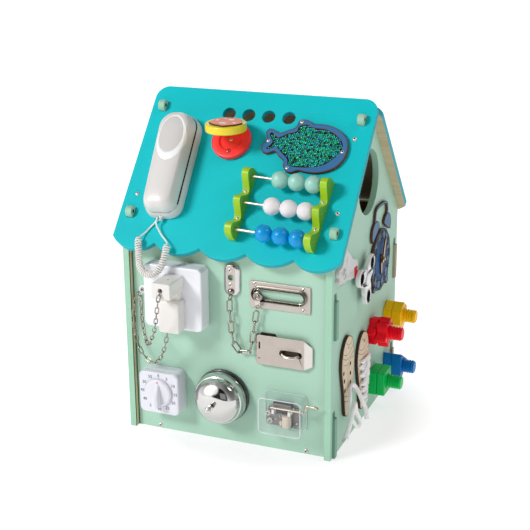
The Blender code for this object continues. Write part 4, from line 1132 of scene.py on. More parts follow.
SEQUINS = [sequin_look("sequin_emerald", srgb(0, 196, 148)), sequin_look("sequin_green", srgb(0, 162, 126)),
           sequin_look("sequin_teal", srgb(0, 180, 184)), sequin_look("sequin_blue", srgb(0, 116, 190)),
           sequin_look("sequin_deep", srgb(0, 84, 74))]
rnd = random.Random(11)
field_in = inset(field_loop, 1.0)
cups = [([], []) for _ in SEQUINS]
row = 0
v = -113.0
while v < -46.0:
    u = 20.0 + (1.4 if row % 2 else 0.0)
    while u < 132.0:
        p = (u + rnd.uniform(-0.2, 0.2), v + rnd.uniform(-0.2, 0.2))
        if inside(p, field_in) and rnd.random() > 0.05:
            vs, fs = cups[rnd.choices(range(5), (38, 20, 26, 8, 8))[0]]
            tilt = Matrix.Rotation(math.radians(rnd.uniform(-17, 17)), 3, "X") @ \
                Matrix.Rotation(math.radians(rnd.uniform(-17, 17)), 3, "Y")
            at = Vector((p[0], p[1], rnd.uniform(2.6, 3.5)))
            s = len(vs)
            for r, h in ((0.25, 0.0), (0.8, 0.08), (1.24, 0.34)):
                for k in range(9):
                    t = 2 * math.pi * k / 9
                    vs.append(at + tilt @ Vector((r * math.cos(t), r * math.sin(t), h)))
            for k in range(9):
                n = (k + 1) % 9
                for j in (0, 9):
                    fs.append((s + j + k, s + j + n, s + j + 9 + n, s + j + 9 + k))
        u += 2.8
    v += 2.42
    row += 1
sequins = []
for (vs, fs), look in zip(cups, SEQUINS):
    me = bpy.data.meshes.new("cups")
    me.from_pydata(vs, [], fs)
    sequins.append((me, look))
place("fish_sequins", sequins, ROOF, smooth=50)
screws("fish_screws", [(64.9, -44.3, 5.0), (24.9, -75.9, 5.0), (60.9, -113.9, 5.0), (130.6, -83.7, 5.0)],
       ROOF, 2.5, 1.3, 4)

# ------------------------------------------------------------------ abacus
ABACUS = moved(ROOF, 68.2, -176.5, 0, math.radians(-2.4))
ABACUS_X = along_x(ABACUS)
ROD_V, ROD_H, SPAN, BRACKET, BEAD_R = (38.5, 0.0, -39.0), 16.5, (-50.2, 49.1), 10.0, 11.75


def bracket_loop():
    top = smooth_path([(51.0, 0.35, 0), (51.6, 8.0, 0), (50.6, 16.0, 0), (47.6, 23.0, 0),
                       (43.5, 27.4, 0), (38.5, 28.6, 0)], 1.6)[:-1]
    wave = []
    for a, b in zip(ROD_V, ROD_V[1:]):
        for k in range(24):
            c = math.cos(2 * math.pi * k / 24)
            wave.append((a + (b - a) * k / 24, 18.4 + 10.2 * c))
    end = smooth_path([(-39.0, 28.6, 0), (-43.8, 27.2, 0), (-47.4, 22.5, 0), (-49.6, 15.0, 0),
                       (-50.0, 7.0, 0), (-49.2, 0.35, 0)], 1.6)
    return [(p.x, p.y) for p in top] + wave + [(p.x, p.y) for p in end]


# one lime paint in two tones: the rim lighter as painted light, the flat faces darker as painted shade
LIME_LIT_RIM = painted_wood("lime_rim_painted_light", srgb(158, 200, 10), (300, 40, 500), 0.42, 0.35, 0.16, 0.15)
LIME_SHADED_FACE = painted_wood("lime_face_painted_shade", srgb(98, 166, 4), (90, 300, 300), 0.45, 0.2, 0.1, 0.15)
ROD_STEEL = metal("rod_steel", srgb(214, 200, 190), 0.28, (30, 900, 900), 0.03)
for side, w0 in (("left", SPAN[0] - BRACKET), ("right", SPAN[1])):
    loops = [bracket_loop()] + [circle(v, ROD_H, 1.95, 16) for v in ROD_V]
    place("abacus_bracket_%s_wood" % side,
          [(slab(loops, w0, w0 + BRACKET, 0.7, 2, 50), LIME_SHADED_FACE, LIME_LIT_RIM, LIME_SHADED_FACE)], ABACUS_X,
          replaces=["abacus_bracket_" + side])
bracket_screws = []
for x in (SPAN[0] - BRACKET / 2, SPAN[1] + BRACKET / 2):
    bracket_screws += [(x, 19.2, 8.25), (x, -19.5, 8.25)]
screws("bracket_screws", bracket_screws, ABACUS, 2.4, 1.2, 6)
BEADS = {
    "top": painted_wood("bead_mint", srgb(152, 206, 192), (500, 500, 160), 0.42, 0.2, 0.06, 0.2),
    "middle": painted_wood("bead_white", srgb(238, 233, 234), (420, 420, 160), 0.6, 0.45, 0.05, 0.0, 0.0, 0.3),
    "bottom": painted_wood("bead_blue", srgb(0, 148, 214), (500, 500, 200), 0.24, 0.12, 0.06, 0.25, 0.0, 0.2),
}
half = math.sqrt(BEAD_R ** 2 - 2.3 ** 2)
a0 = math.asin(2.3 / BEAD_R)
bead = [(2.3, half), (2.6, half - 0.05)]
bead += [(BEAD_R * math.sin(a0 + 0.07 + (math.pi - 2 * a0 - 0.14) * k / 18),
          BEAD_R * math.cos(a0 + 0.07 + (math.pi - 2 * a0 - 0.14) * k / 18)) for k in range(19)]
bead += [(2.6, 0.05 - half), (2.3, -half)]
for row, v in zip(("top", "middle", "bottom"), ROD_V):
    line = ABACUS_X @ Matrix.Translation((v, ROD_H, 0))
    place("abacus_rod_%s_bar" % row, [(rod(1.8, SPAN[0] - BRACKET + 0.6, SPAN[1] + BRACKET - 0.6, 20, 0.3),
                                       ROD_STEEL)], line, replaces=["abacus_rod_" + row])
    for n, k in enumerate(("right", "middle", "left")):
        w = SPAN[1] - 0.3 - half - n * (2 * half + 0.3)
        place("bead_%s_%s_ball" % (row, k), [(lathe(bead, 40, True), BEADS[row])],
              line @ Matrix.Translation((0, 0, w)), "%s_bead_%s" % (row, k),
              ["bead_%s_%s" % (row, k)], smooth=60)

# --------------------------------------------------------- socket and plug
SOCKET_WHITE = plastic("socket_white", srgb(238, 239, 245), 0.4, 0.15, 0.02)
PLUG_IVORY = plastic("plug_ivory", srgb(231, 228, 223), 0.45, 0.1, 0.05)
# dark brown for the dot on the plug's top, and painted shade at the bottom of its cord eye
HOLE_SHADE_AND_DOT = Mat("painted_hole_shade_and_dot", srgb(70, 52, 40), 0.8).mat
socket = slab([rounded(rect(-111.5, -26.0, 165.5, 254.0), 7.0, 10)], 0.3, 26.0, 2.2, 3)
tools = [shift(rod(3.0, 9.0, 40.0, 24), x, 196.0, 0) for x in (-74.0, -58.0)]
tools += [box(-61.0, -59.8, 253.2, 256.0, 11.0, 19.0), box(-56.6, -55.4, 253.2, 256.0, 11.0, 19.0)]
place("socket_box_shell", [(cut(socket, *tools), SOCKET_WHITE)], FRONT, replaces=["socket_box"])
place("socket_back_line", [(slab([inset(rounded(rect(-111.5, -26.0, 165.5, 254.0), 7.0, 10), -0.25)],
                                 8.6, 9.0), SOCKET_WHITE)], FRONT)
body = slab([rounded(rect(-80.5, -50.5, 167.0, 211.5), 3.4, 6)], 26.3, 46.0, 1.6, 3)
neck = box(-75.0, -54.0, 205.0, 228.0, 26.3, 38.0, 1.0)
grip = slab([rounded(rect(-78.2, -51.0, 222.6, 244.0), 2.4, 5)], 26.3, 68.0, 1.1, 3)
pins = [shift(rod(2.4, 11.0, 27.0, 20, 0.8), x, 196.0, 0) for x in (-74.0, -58.0)]
eye = shift(rod(3.4, 58.0, 90.0, 28), -65.0, 234.2, 0)
grooves = [box(-51.35, -50.0, z, z + 0.8, 30.0, 60.0) for z in (227.0, 230.2)]
plug = cut(fuse(body, neck, grip), eye, *grooves)
# the dark disc at the bottom of the cord eye is painted shade
place("plug_shell", [(plug, PLUG_IVORY)] + [(p, NICKEL) for p in pins]
      + [(shift(rod(3.3, 58.02, 58.2, 24), -65.0, 234.2, 0), HOLE_SHADE_AND_DOT)],
      FRONT, "plug_body", ["plug"], smooth=32)
mark = turn(rod(1.1, 0.0, 0.12, 16), -90, "X")
place("plug_dot", [(shift(mark, -62.5, 244.0, 49.0), HOLE_SHADE_AND_DOT)], FRONT, "plug_body")
# the dark rod in the anchor screw's recess is painted shade
washer = [(annulus(2.4, 5.6, 0.02, 1.8, 0, 0, 0.5), SOCKET_WHITE), (screw(3.3, 3.2), SCREW),
          (rod(1.5, 0.02, 1.4, 12), RECESS_SHADE_PAINT)]
place("chain_anchor_screw", washer, moved(FRONT, -126.4, 206.6))

# ------------------------------------------------------------------- timer
TIMER_WHITE = plastic("timer_white", srgb(226, 226, 235), 0.4, 0.15, 0.02)
PRINT_GREY = Mat("print_grey", srgb(84, 86, 104), 0.6).mat
PRINT_RED = Mat("print_red", srgb(230, 70, 92), 0.5).mat
cx, cz = -94.5, 66.2
timer_loop = rounded(rect(cx - 30, cx + 30, cz - 30.7, cz + 30.7), 8.0, 10)
place("timer_case", [(slab([timer_loop], 0.3, 13.6, 0.5, 2), TIMER_WHITE),
                     (slab([inset(timer_loop, 0.5)], 13.0, 14.4), TIMER_WHITE),
                     (slab([timer_loop], 14.1, 26.0, 2.6, 4), TIMER_WHITE)], FRONT,
      replaces=["timer_body"])
DIAL = moved(FRONT, cx + 0.3, cz + 1.6, 26.0)
prints = []
for k in range(12):
    t = math.radians(30.0 * k)
    prints.append((letters(str(5 * k), 6.0, 25.2 * math.sin(t), 25.2 * math.cos(t), 0.06, 0.14, 0.06), PRINT_GREY))
for k in range(60):
    t = math.radians(6.0 * k)
    long = 1.7 if k % 5 == 0 else 1.0
    me = box(-0.2, 0.2, 20.9, 20.9 + long, -0.02, 0.13)
    prints.append((turn(me, -6.0 * k), PRINT_GREY))
place("timer_printing", prints, DIAL, smooth=None)
disc = lathe([(0, 4.5), (16.4, 4.5), (17.6, 4.3), (19.2, 3.2), (20.0, 2.2), (20.0, 0.5), (19.8, 0.3),
              (0, 0.3)], 72)
wedge_rows = []
for v, wide, top in ((-18.5, 3.0, 12.6), (-18.0, 4.4, 14.4), (-16.6, 5.1, 15.3), (-14.0, 5.2, 15.5),
                     (-8.0, 5.0, 14.6), (-1.0, 4.6, 12.6), (6.0, 4.0, 9.4), (11.5, 3.3, 6.4),
                     (15.0, 2.4, 4.9), (16.5, 1.4, 4.3)):
    wedge_rows.append([(-wide - 0.9, v, 2.5), (-wide - 0.5, v, 4.4), (-wide * 0.86, v, top - 1.4),
                       (-wide * 0.55, v, top - 0.3), (0.0, v, top), (wide * 0.55, v, top - 0.3),
                       (wide * 0.86, v, top - 1.4), (wide + 0.5, v, 4.4), (wide + 0.9, v, 2.5)])
place("timer_dial_knob", [(disc, TIMER_WHITE), (ringed(wedge_rows), TIMER_WHITE),
                          (slab([[(-1.5, 15.4), (0, 18.6), (1.5, 15.4)]], 4.2, 4.62), PRINT_RED)],
      DIAL, "dial", ["timer_dial"], smooth=40)

# -------------------------------------------------------------------- bell
BELL = moved(FRONT, -7.7, 68.0)
BLACK = plastic("black_enamel", srgb(20, 22, 26), 0.3, 0.6, 0.05)
CHROME = metal("chrome", srgb(206, 205, 203), 0.06, None, 0.0, 0.02)
place("bell_base_shell",
      [(lathe([(0, 9.0), (34.6, 9.0), (36.0, 8.6), (37.0, 7.6), (37.6, 6.4), (37.3, 5.9), (38.0, 5.5),
               (38.3, 4.6), (38.3, 1.4), (37.8, 0.6), (37.0, 0.3), (0, 0.3)], 96), BLACK),
       (lathe([(5.0, 9.0), (5.0, 38.6), (2.7, 38.6), (2.7, 31.0), (0, 31.0), (0, 9.0)], 32), NICKEL)],
      BELL, replaces=["bell_base"], smooth=38)
dome = [(3.2, 40.8), (5.6, 40.72), (8.2, 40.5), (11.0, 40.1), (13.8, 39.5), (16.6, 38.7), (19.3, 37.6),
        (21.8, 36.3), (24.1, 34.8), (26.2, 33.1), (28.1, 31.1), (29.8, 28.9), (31.1, 26.6),
        (32.1, 24.2), (32.7, 22.3), (33.0, 21.5), (33.5, 21.05), (34.2, 20.9), (34.7, 20.5),
        (34.9, 19.7), (35.1, 17.6), (35.5, 15.2), (36.1, 13.2), (36.9, 11.9), (37.35, 11.3),
        (37.3, 10.9), (36.9, 10.8), (36.2, 11.4), (35.2, 14.5), (33.8, 19.4), (31.4, 23.6),
        (28.6, 29.0), (24.0, 33.4), (19.0, 36.4), (13.0, 38.4), (6.0, 39.4), (3.2, 39.5)]
place("bell_dome_shell", [(lathe(dome, 128, True), CHROME)], BELL, replaces=["bell_dome"], smooth=50)
place("bell_button_pin",
      [(lathe([(0, 57.0), (1.1, 56.9), (1.3, 56.3), (2.4, 56.5), (3.4, 55.8), (4.1, 54.6), (4.3, 53.4),
               (4.0, 52.0), (3.3, 50.9), (2.5, 50.1), (2.1, 49.2), (2.1, 47.4), (2.5, 46.8),
               (3.5, 46.5), (3.75, 45.9), (3.75, 44.6), (3.4, 44.1), (2.5, 43.8), (2.2, 43.2),
               (2.2, 34.3), (0, 34.2)], 40), CHROME)], BELL, "button", ["bell_button"], smooth=60)

# -------------------------------------------------------------- door chain
PLATE = metal("stamped_nickel", srgb(188, 180, 173), 0.3, (60, 900, 60), 0.08, 0.14)
SLIDE_STEEL = metal("slide_steel", srgb(150, 141, 133), 0.1, None, 0.02)
KEEPER_HOLE = circle(7.6, 241.4, 4.2, 32)


def rod_at(r, u, v):
    return shift(rod(r + 0.05, -1.0, 9.0, 32), u, v, 0)


plan = stadium(-3.8, 19.8, 213.8, 261.2, 20)
top = stadium(1.4, 13.6, 217.6, 257.8, 20)
keeper = ringed([[(a[0] + (b[0] - a[0]) * t, a[1] + (b[1] - a[1]) * t, w) for a, b in zip(plan, top)]
                 for t, w in ((0.03, 0.3), (0.0, 0.7), (0.02, 1.5), (0.14, 2.9), (0.42, 4.2), (0.74, 4.95),
                              (0.96, 5.2), (1.0, 5.05), (1.02, 4.4))])
crown = slab([inset(top, -0.05), KEEPER_HOLE], 0.4, 5.22, 0.1, 1, 50)
eyelet = turn(ring(3.0, 0.9, 0.0, 0.0, 0.0, 32), 66, "Y")
place("chain_keeper_plate", [(cut(keeper, rod_at(4.2, 7.6, 241.4)), CHROME),
                             (crown, PLATE, NICKEL, NICKEL)], FRONT,
      replaces=["chain_keeper"], smooth=40)
place("keeper_eyelet", [(shift(eyelet, 7.2, 214.4, 7.0), CHAIN_STEEL)], FRONT, smooth=60)
rivet = lathe([(0, 3.4), (1.8, 3.2), (3.4, 2.5), (4.4, 1.2), (4.7, 0.0), (4.7, -0.3), (0, -0.3)], 36)
place("keeper_rivet", [(shift(rivet, 7.8, 222.0, 5.2), SLIDE_STEEL)], FRONT, smooth=60)
screws("keeper_screws", [(6.4, 251.6, 5.18), (6.9, 231.0, 5.18)], FRONT, 2.7, 0.7, 8)
TRACK_Z = 223.4
plate = slab([rounded(rect(33.3, 118.3, 203.0, 239.8), 1.5, 4),
              stadium(41.3, 112.0, TRACK_Z - 6.0, TRACK_Z + 6.0, 16)], 0.3, 2.2, 0.35, 2)


def ridge(loop, d0, d1, w, high, n=10):
    """Half-round rib that follows a loop, between two insets of it."""
    rings = []
    for k in range(n + 1):
        t = math.pi * k / n
        rings.append([(x, y, w + high * math.sin(t)) for x, y in
                      inset(loop, d0 + (d1 - d0) * (1 - math.cos(t)) / 2)])
    return ringed(rings, (False, False))


RAIL_STEEL = metal("rail_steel", srgb(170, 164, 158), 0.1, None, 0.02)
rail = stadium(36.0, 114.0, TRACK_Z - 11.0, TRACK_Z + 11.0, 20)
place("chain_track_rail", [(plate, PLATE), (ridge(rail, 0.0, 2.5, 2.0, 5.4), RAIL_STEEL),
                           (ridge(rail, 3.2, 5.3, 2.0, 3.4), RAIL_STEEL)], FRONT,
      replaces=["chain_track"], smooth=45)
screws("track_screws", [(40.2, 236.0, 2.18), (108.6, 236.0, 2.18), (108.6, 207.2, 2.18),
                        (44.0, 207.2, 2.18)], FRONT, 2.5, 1.0, 9)
SLIDER = moved(FRONT, 47.4, 221.6)
tongue = slab([rounded(rect(-3.6, 3.6, -17.6, -2.0), 3.4, 8), circle(0, -14.0, 1.5, 16)], 8.6, 10.2, 0.3, 2)
place("chain_slider_knob",
      [(lathe([(0, 10.8), (1.2, 10.65), (2.1, 10.2), (2.7, 9.5), (3.2, 9.5), (4.2, 10.4), (5.4, 10.5),
               (6.4, 10.1), (6.8, 9.5), (6.6, 8.7), (6.0, 8.4), (3.1, 8.4), (3.1, 0.7), (0, 0.7)], 48),
        SLIDE_STEEL), (tongue, NICKEL), (ring(2.6, 0.7, 0.0, -14.0, 10.0), SLIDE_STEEL)], SLIDER, "slider",
      ["chain_slider"], smooth=45)

# -------------------------------------------------------------------- hasp
HASP = metal("hasp_steel", srgb(188, 178, 170), 0.42, (40, 900, 900), 0.1, 0.1)
HASP_DARK = metal("hasp_shadow", srgb(70, 62, 56), 0.5, None, 0.05)
leaf = slab([rounded(rect(45.2, 111.4, 125.0, 166.8), [1.5, 0, 0, 1.5], 4),
             stadium(76.6, 108.4, 140.2, 149.6, 16)], 5.0, 6.8)
lip = slab([[(0, 125.0), (12.0, 130.0), (12.0, 156.8), (0, 166.8)]], -1.7, 0.0)
lip.transform(Matrix.Translation((110.6, 0, 6.7)) @ Matrix.Rotation(math.radians(18), 4, "Y"))
knuckle = turn(rod(2.6, -9.0, 9.0, 24), 90, "X")
shift(knuckle, 44.4, 145.5, 3.4)
flap = cut(fuse(leaf, lip, knuckle), box(47.2, 49.4, 147.0, 157.0, 4.0, 8.0),
           box(45.0, 49.8, 133.2, 134.2, 4.0, 8.0))
# a paler copy of the hasp steel for the bent lip: painted light on the side turned toward the lamps
HASP_LIP_LIT = metal("hasp_lip_painted_light", srgb(222, 216, 210), 0.36, (900, 40, 900), 0.08)
place("hasp_flap_leaf", [(rounded_rim(flap, 0.25, 2, 40), lambda p: 1 if p.center.x > 111.0 else 0,
                          HASP, HASP_LIP_LIT)], FRONT, "flap",
      ["hasp_flap"], smooth=34)
fixed = slab([rounded(rect(48.0, 69.0, 124.0, 168.6), 1.5, 4)], 0.02, 1.8, 0.3, 2)
parts = [(fixed, HASP_DARK)]
for z0, z1 in ((126.0, 136.0), (155.0, 165.4)):
    k = turn(rod(2.5, z0, z1, 20, 0.3), -90, "X")
    parts.append((shift(k, 44.4, 0, 3.4), HASP))
pin = turn(rod(1.2, 125.0, 166.6, 16, 0.3), -90, "X")
place("hasp_fixed_leaf", parts + [(shift(pin, 44.4, 0, 3.4), HASP_DARK)], FRONT)
STAPLE = metal("staple_steel", srgb(222, 214, 206), 0.24, None, 0.02)
base = slab([rounded(rect(77.0, 110.0, 133.0, 157.0), 3.0, 6)], 0.3, 1.9, 0.3, 2)
bow = [(82.4, 144.9, 1.0), (82.4, 144.9, 6.0), (82.4, 144.9, 10.0)]
bow += [(93.3 - 10.9 * math.cos(t), 144.9, 10.0 + 8.6 * math.sin(t))
        for t in [math.pi * k / 24 for k in range(1, 24)]]
bow += [(104.2, 144.9, 10.0), (104.2, 144.9, 6.0), (104.2, 144.9, 1.0)]
place("hasp_staple_bow", [(base, HASP_DARK), (tube(bow, 1.9, 20), STAPLE)], FRONT,
      replaces=["hasp_staple"], smooth=45)

# --------------------------------------------------------------- music box


def clear(name, alpha, rgb, rough=0.06):
    m = Mat(name, rgb, rough, coat=0.6, coat_rough=0.03)
    m.colour(m.tone(m.noise(30.0), 0.97, 1.02))
    m.bump(m.noise(700.0), 0.02, 0.0002)
    m.sh.inputs["Alpha"].default_value = alpha
    return m.mat


CLEAR_FACE = clear("acrylic_face", 0.05, srgb(224, 236, 236))
# the side walls are far less clear than the faces: painted reflection of their grazing sheen
CLEAR_SIDE_SHEEN = clear("acrylic_side_painted_sheen", 0.2, srgb(214, 230, 230))
CLEAR_EDGE_HIGHLIGHT = clear("acrylic_edge_painted_highlight", 0.75, srgb(240, 246, 246))
case = slab([rounded(rect(53.6, 114.4, 34.6, 86.4), 6.0, 10)], 0.3, 28.0, 1.4, 3)
hollow = slab([rounded(rect(55.6, 112.4, 36.6, 84.4), 4.5, 10)], -3.0, 26.0)
port = turn(rod(2.2, 108.0, 119.0, 20), 90, "Y")
shift(port, 0, 69.0, 17.0)
shell = cut(case, hollow, port)
# pale tubes along the case's edges and round the crank port: painted highlights on the clear edges
rims = [(ring(2.6, 0.5), CLEAR_EDGE_HIGHLIGHT)]
turn(rims[0][0], 90, "Y")
shift(rims[0][0], 114.4, 69.0, 17.0)
for w in (0.9, 27.4):
    loop = rounded(rect(54.3, 113.7, 35.3, 85.7), 5.6, 10)
    rims.append((tube([(a, b, w) for a, b in loop + loop[:1]], 0.6, 8), CLEAR_EDGE_HIGHLIGHT))
place("music_case_shell", [(shell, CLEAR_FACE, CLEAR_SIDE_SHEEN, CLEAR_FACE)] + rims, FRONT,
      replaces=["music_case"], smooth=35)
BED = metal("bedplate", srgb(138, 131, 130), 0.4, None, 0.15, 0.25)
COMB = metal("comb_steel", srgb(56, 56, 60), 0.35, (900, 40, 40), 0.1)
CLIP = painted_wood("clip_pale", srgb(232, 230, 226), (300, 300, 300), 0.45, 0.05, 0.05)
BRASSY = metal("shaft_brass", srgb(206, 188, 168), 0.24, None, 0.03)
DRUM = plastic("drum_beige", srgb(214, 200, 182), 0.5, 0.1, 0.12)
bed = slab([rounded([(58.0, 38.6), (78.0, 38.0), (80.0, 41.0), (98.0, 38.6), (105.0, 41.0),
                     (105.0, 66.0), (74.0, 70.0), (60.0, 64.0), (57.0, 52.0)], 2.0, 4)], 0.8, 3.4, 0.3, 1)
parts = [(bed, BED)]
for k in range(17):
    parts.append((box(70.0 + 1.5 * k, 71.2 + 1.5 * k, 58.0 + 0.25 * k, 73.0, 10.2, 11.0, 0.1, 1), COMB))
parts.append((box(69.0, 96.0, 68.0, 74.6, 3.0, 10.3, 0.5), COMB))
parts.append((box(69.4, 95.6, 66.2, 73.8, 11.0, 12.6, 0.4), BED))
for u in (71.75, 94.75):
    parts.append((box(u - 1.75, u + 1.75, 61.0, 67.2, 3.0, 19.4, 0.5), CLIP))
drum = turn(lathe([(0, -8.6), (5.4, -8.6), (6.2, -8.0), (6.2, 8.0), (5.4, 8.6), (0, 8.6)], 48), 90, "X")
parts.append((shift(drum, 88.9, 50.0, 11.3), DRUM))
for v in (40.6, 59.0):
    parts.append((box(82.0, 96.0, v, v + 1.5, 3.0, 13.0, 0.4), BED))
for u, v in ((59.8, 54.5), (62.4, 43.8)):
    parts.append((shift(lathe([(2.5, 6.4), (3.3, 6.4), (3.6, 5.8), (3.6, 3.0), (2.5, 3.0)], 32, True), u, v, 0), CLIP))
    parts.append((shift(lathe([(0, 5.0), (1.6, 4.9), (2.4, 4.3), (2.4, 3.0), (0, 3.0)], 28), u, v, 0), NICKEL))
for u, v, r in ((70.5, 47.0, 1.6), (76.0, 52.0, 1.2), (75.0, 42.6, 1.0), (101.0, 45.0, 1.6), (66.8, 59.6, 1.4)):
    parts.append((shift(lathe([(0, 1.2), (r * 0.7, 1.1), (r, 0.5), (r, -0.4), (0, -0.4)], 20), u, v, 3.4), NICKEL))
gear = [((3.9 if k % 2 else 4.6) * math.cos(math.pi * k / 20), (3.9 if k % 2 else 4.6) * math.sin(math.pi * k / 20))
        for k in range(40)]
parts.append((shift(slab([gear], 0, 1.6), 80.6, 43.0, 6.0), BRASSY))
place("music_movement_works", parts, FRONT, replaces=["music_movement"], smooth=40)
crank = smooth_path([(68.0, 69.0, 17.0), (80.0, 69.0, 17.0), (92.0, 69.0, 17.0), (104.0, 69.0, 17.0),
                     (114.0, 69.0, 17.0), (116.6, 70.2, 17.0), (117.6, 74.0, 17.0),
                     (118.0, 77.4, 17.0), (119.8, 79.3, 17.0), (123.0, 79.4, 17.0),
                     (127.0, 79.2, 17.0), (135.2, 78.4, 17.0)], 1.4)
thick = [1.25 if p.x < 126.5 else 1.25 + 0.85 * min(1.0, (p.x - 126.5) / 2.0) * (0.75 if p.x > 134.4 else 1.0)
         for p in crank]
place("music_crank_wire", [(tube(crank, 1.25, 16, thick), BRASSY)], FRONT, "crank",
      ["music_crank"], smooth=50)

# ---------------------------------------------------------- fidget spinner
SPIN = moved(RIGHT, -36.0, 223.0)
SPIN_WHITE = plastic("spinner_white", srgb(236, 236, 236), 0.3, 0.35, 0.02)
BEARING = painted_wood("bearing_dark", srgb(20, 20, 30), (300, 300, 300), 0.7, 0.05, 0.1, 0.0, 0.0, 0.05)
SPIN_DARK = painted_wood("bearing_seal", srgb(10, 10, 14), (300, 300, 300), 0.8, 0.05, 0.1, 0.0, 0.0, 0.03)
LOBE_AT, LOBE_R, WAIST = 26.5, 12.0, 13.0
lobes = []
for k in range(216):
    t = 2 * math.pi * k / 216
    off = (t - math.radians(42) + math.pi / 3) % (2 * math.pi / 3) - math.pi / 3
    e = math.asin(LOBE_R / LOBE_AT)
    if abs(off) < e:
        r = LOBE_AT * math.cos(off) + math.sqrt(max(0.0, LOBE_R ** 2 - (LOBE_AT * math.sin(off)) ** 2))
    else:
        fade = (abs(off) - e) / (math.pi / 3 - e)
        r = WAIST + (LOBE_AT * math.cos(e) - WAIST) * math.cos(fade * math.pi / 2) ** 2
    lobes.append((r * math.cos(t), r * math.sin(t)))
spots = [(LOBE_AT * math.cos(math.radians(a)), LOBE_AT * math.sin(math.radians(a))) for a in (42, 162, 282)]
parts = [(slab([resampled(lobes, 180)] + [circle(a, b, 8.3, 40) for a, b in spots] + [circle(0, 0, 3.2, 24)],
               5.8, 12.8, 1.7, 4, 50), SPIN_WHITE)]
for a, b in spots:
    parts.append((annulus(7.2, 8.28, 6.5, 12.3, a, b, 0.4), BEARING))
    parts.append((lathe([(0, 11.9), (3.2, 11.9), (3.4, 12.2), (4.4, 12.2), (4.7, 11.8), (7.25, 11.8),
                         (7.25, 7.2), (0, 7.2)], 40, False, a, b), SPIN_DARK))
parts.append((lathe([(0, 14.2), (1.2, 14.25), (1.5, 13.9), (2.1, 13.9), (2.4, 14.3), (6.2, 14.4),
                     (7.4, 14.1), (8.4, 13.4), (8.8, 12.7), (0, 12.7)], 56), SPIN_WHITE))
parts.append((lathe([(3.4, 5.0), (8.4, 5.0), (8.8, 5.9), (3.4, 5.9)], 48, True), SPIN_WHITE))
parts.append((annulus(9.0, 9.5, 12.6, 12.95, 0, 0, 0.1, 56), SPIN_DARK))
place("fidget_spinner_body", parts, SPIN, "spinner", ["fidget_spinner"], smooth=45)
place("spinner_hub", [(rod(3.0, 0.02, 12.4, 24, 0.2), NICKEL)], SPIN)

# ------------------------------------------------------------------- clock
CLOCK_BLUE = painted_wood("clock_blue", srgb(88, 124, 156), (420, 420, 120), 0.6, 0.3, 0.14, 0.0, 0.0, 0.3)
CLOCK_DEEP = painted_wood("clock_centre", srgb(24, 84, 138), (420, 420, 120), 0.6, 0.3, 0.1, 0.0, 0.0, 0.3)
CLOCK_SIDE = ply_edge("clock_burnt", (1, 0, 0), (126, 74, 40), (62, 34, 20), 4.0, 0.4)
CHAR = Mat("charred_line", srgb(26, 18, 18), 0.8).mat


def washed(loop, d0=0.05, d1=0.95, w=4.3):
    return slab([inset(loop, d0), inset(loop, d1)], w - 0.1, w + 0.06)


rim = []
for k in range(144):
    t = 2 * math.pi * k / 144
    r = 45.0 + (0.9 * math.cos(12 * t) ** 3)
    rim.append((54.0 + r * math.cos(t), 222.0 + r * 1.0 * math.sin(t)))
parts = [(slab([rim], 0.3, 4.3, 0.2, 1), CLOCK_BLUE, CLOCK_SIDE, CLOCK_SIDE),
         (washed(rim), CHAR)]
for loop in (rounded([(22.5, 190.0), (17.6, 182.2), (25.6, 180.2), (38.0, 186.0)], [0, 3, 3, 0], 5),
             rounded([(92.0, 198.0), (78.0, 184.0), (86.0, 174.6), (93.0, 178.4)], [0, 0, 3, 3], 5)):
    parts += [(slab([loop], 0.4, 4.1, 0.2, 1), CLOCK_BLUE, CLOCK_SIDE, CLOCK_SIDE),
              (washed(loop, 0.05, 0.8, 4.1), CHAR)]
for cyy, czz, tilt in ((24.0, 272.5, 28.0), (84.5, 270.6, -28.0)):
    cap = [(18.0 * math.cos(t), 16.5 * math.sin(t) - 4.0) for t in [math.pi * k / 24 for k in range(25)]]
    cap += [(-18.8, -6.6), (-12.0, -7.6), (0.0, -8.0), (12.0, -7.6), (18.8, -6.6)]
    cap = resampled(cap, 60)
    c, s = math.cos(math.radians(tilt)), math.sin(math.radians(tilt))
    cap = [(cyy + a * c - b * s, czz + a * s + b * c) for a, b in cap]
    parts += [(slab([cap], 0.5, 4.1, 0.2, 1), CLOCK_BLUE, CLOCK_SIDE, CLOCK_SIDE),
              (washed(cap, 0.05, 0.9, 4.1), CHAR)]
arch = smooth_path([(20.6, 276, 0), (21.2, 290, 0), (24.6, 300.6, 0), (33.0, 305.2, 0), (53.6, 306.2, 0),
                    (73.6, 303.8, 0), (82.6, 298, 0), (85.0, 290, 0), (83.0, 282, 0)], 2.0)
arch += smooth_path([(79.2, 283, 0), (81.0, 290, 0), (78.8, 295.6, 0), (72.4, 300, 0), (53.6, 302.4, 0),
                     (34.2, 301.4, 0), (27.8, 298, 0), (25.0, 290, 0), (24.4, 276, 0)], 2.0)
arch = [(p.x, p.y) for p in arch]
parts += [(slab([arch], 0.7, 3.9, 0.2, 1), CLOCK_BLUE, CLOCK_SIDE, CLOCK_SIDE),
          (washed(arch, 0.02, 0.8, 3.9), CHAR)]
parts.append((annulus(29.2, 31.0, 4.2, 4.36, 54.0, 222.0, seg=96), CHAR))
parts.append((slab([circle(54.0, 222.0, 29.2, 96)], 4.2, 4.34), CLOCK_DEEP))
for k in range(12):
    t = math.radians(30 * k)
    u, v = 54.0 + 36.0 * math.sin(t), 222.0 + 36.0 * math.cos(t)
    parts.append((letters(str(k or 12), 15.0, u, v, 4.36, 0.1, 1.3), CHAR))
for k in range(60):
    t = math.radians(6 * k)
    me = turn(box(-1.4, 1.4, 40.4, 43.8, 4.25, 4.37), -6 * k)
    parts.append((shift(me, 54.0, 222.0, 0), CHAR))
    if k % 2:
        me = turn(box(-1.2, 1.2, 25.2, 28.0, 4.25, 4.4), -6 * k)
        parts.append((shift(me, 54.0, 222.0, 0), CHAR))
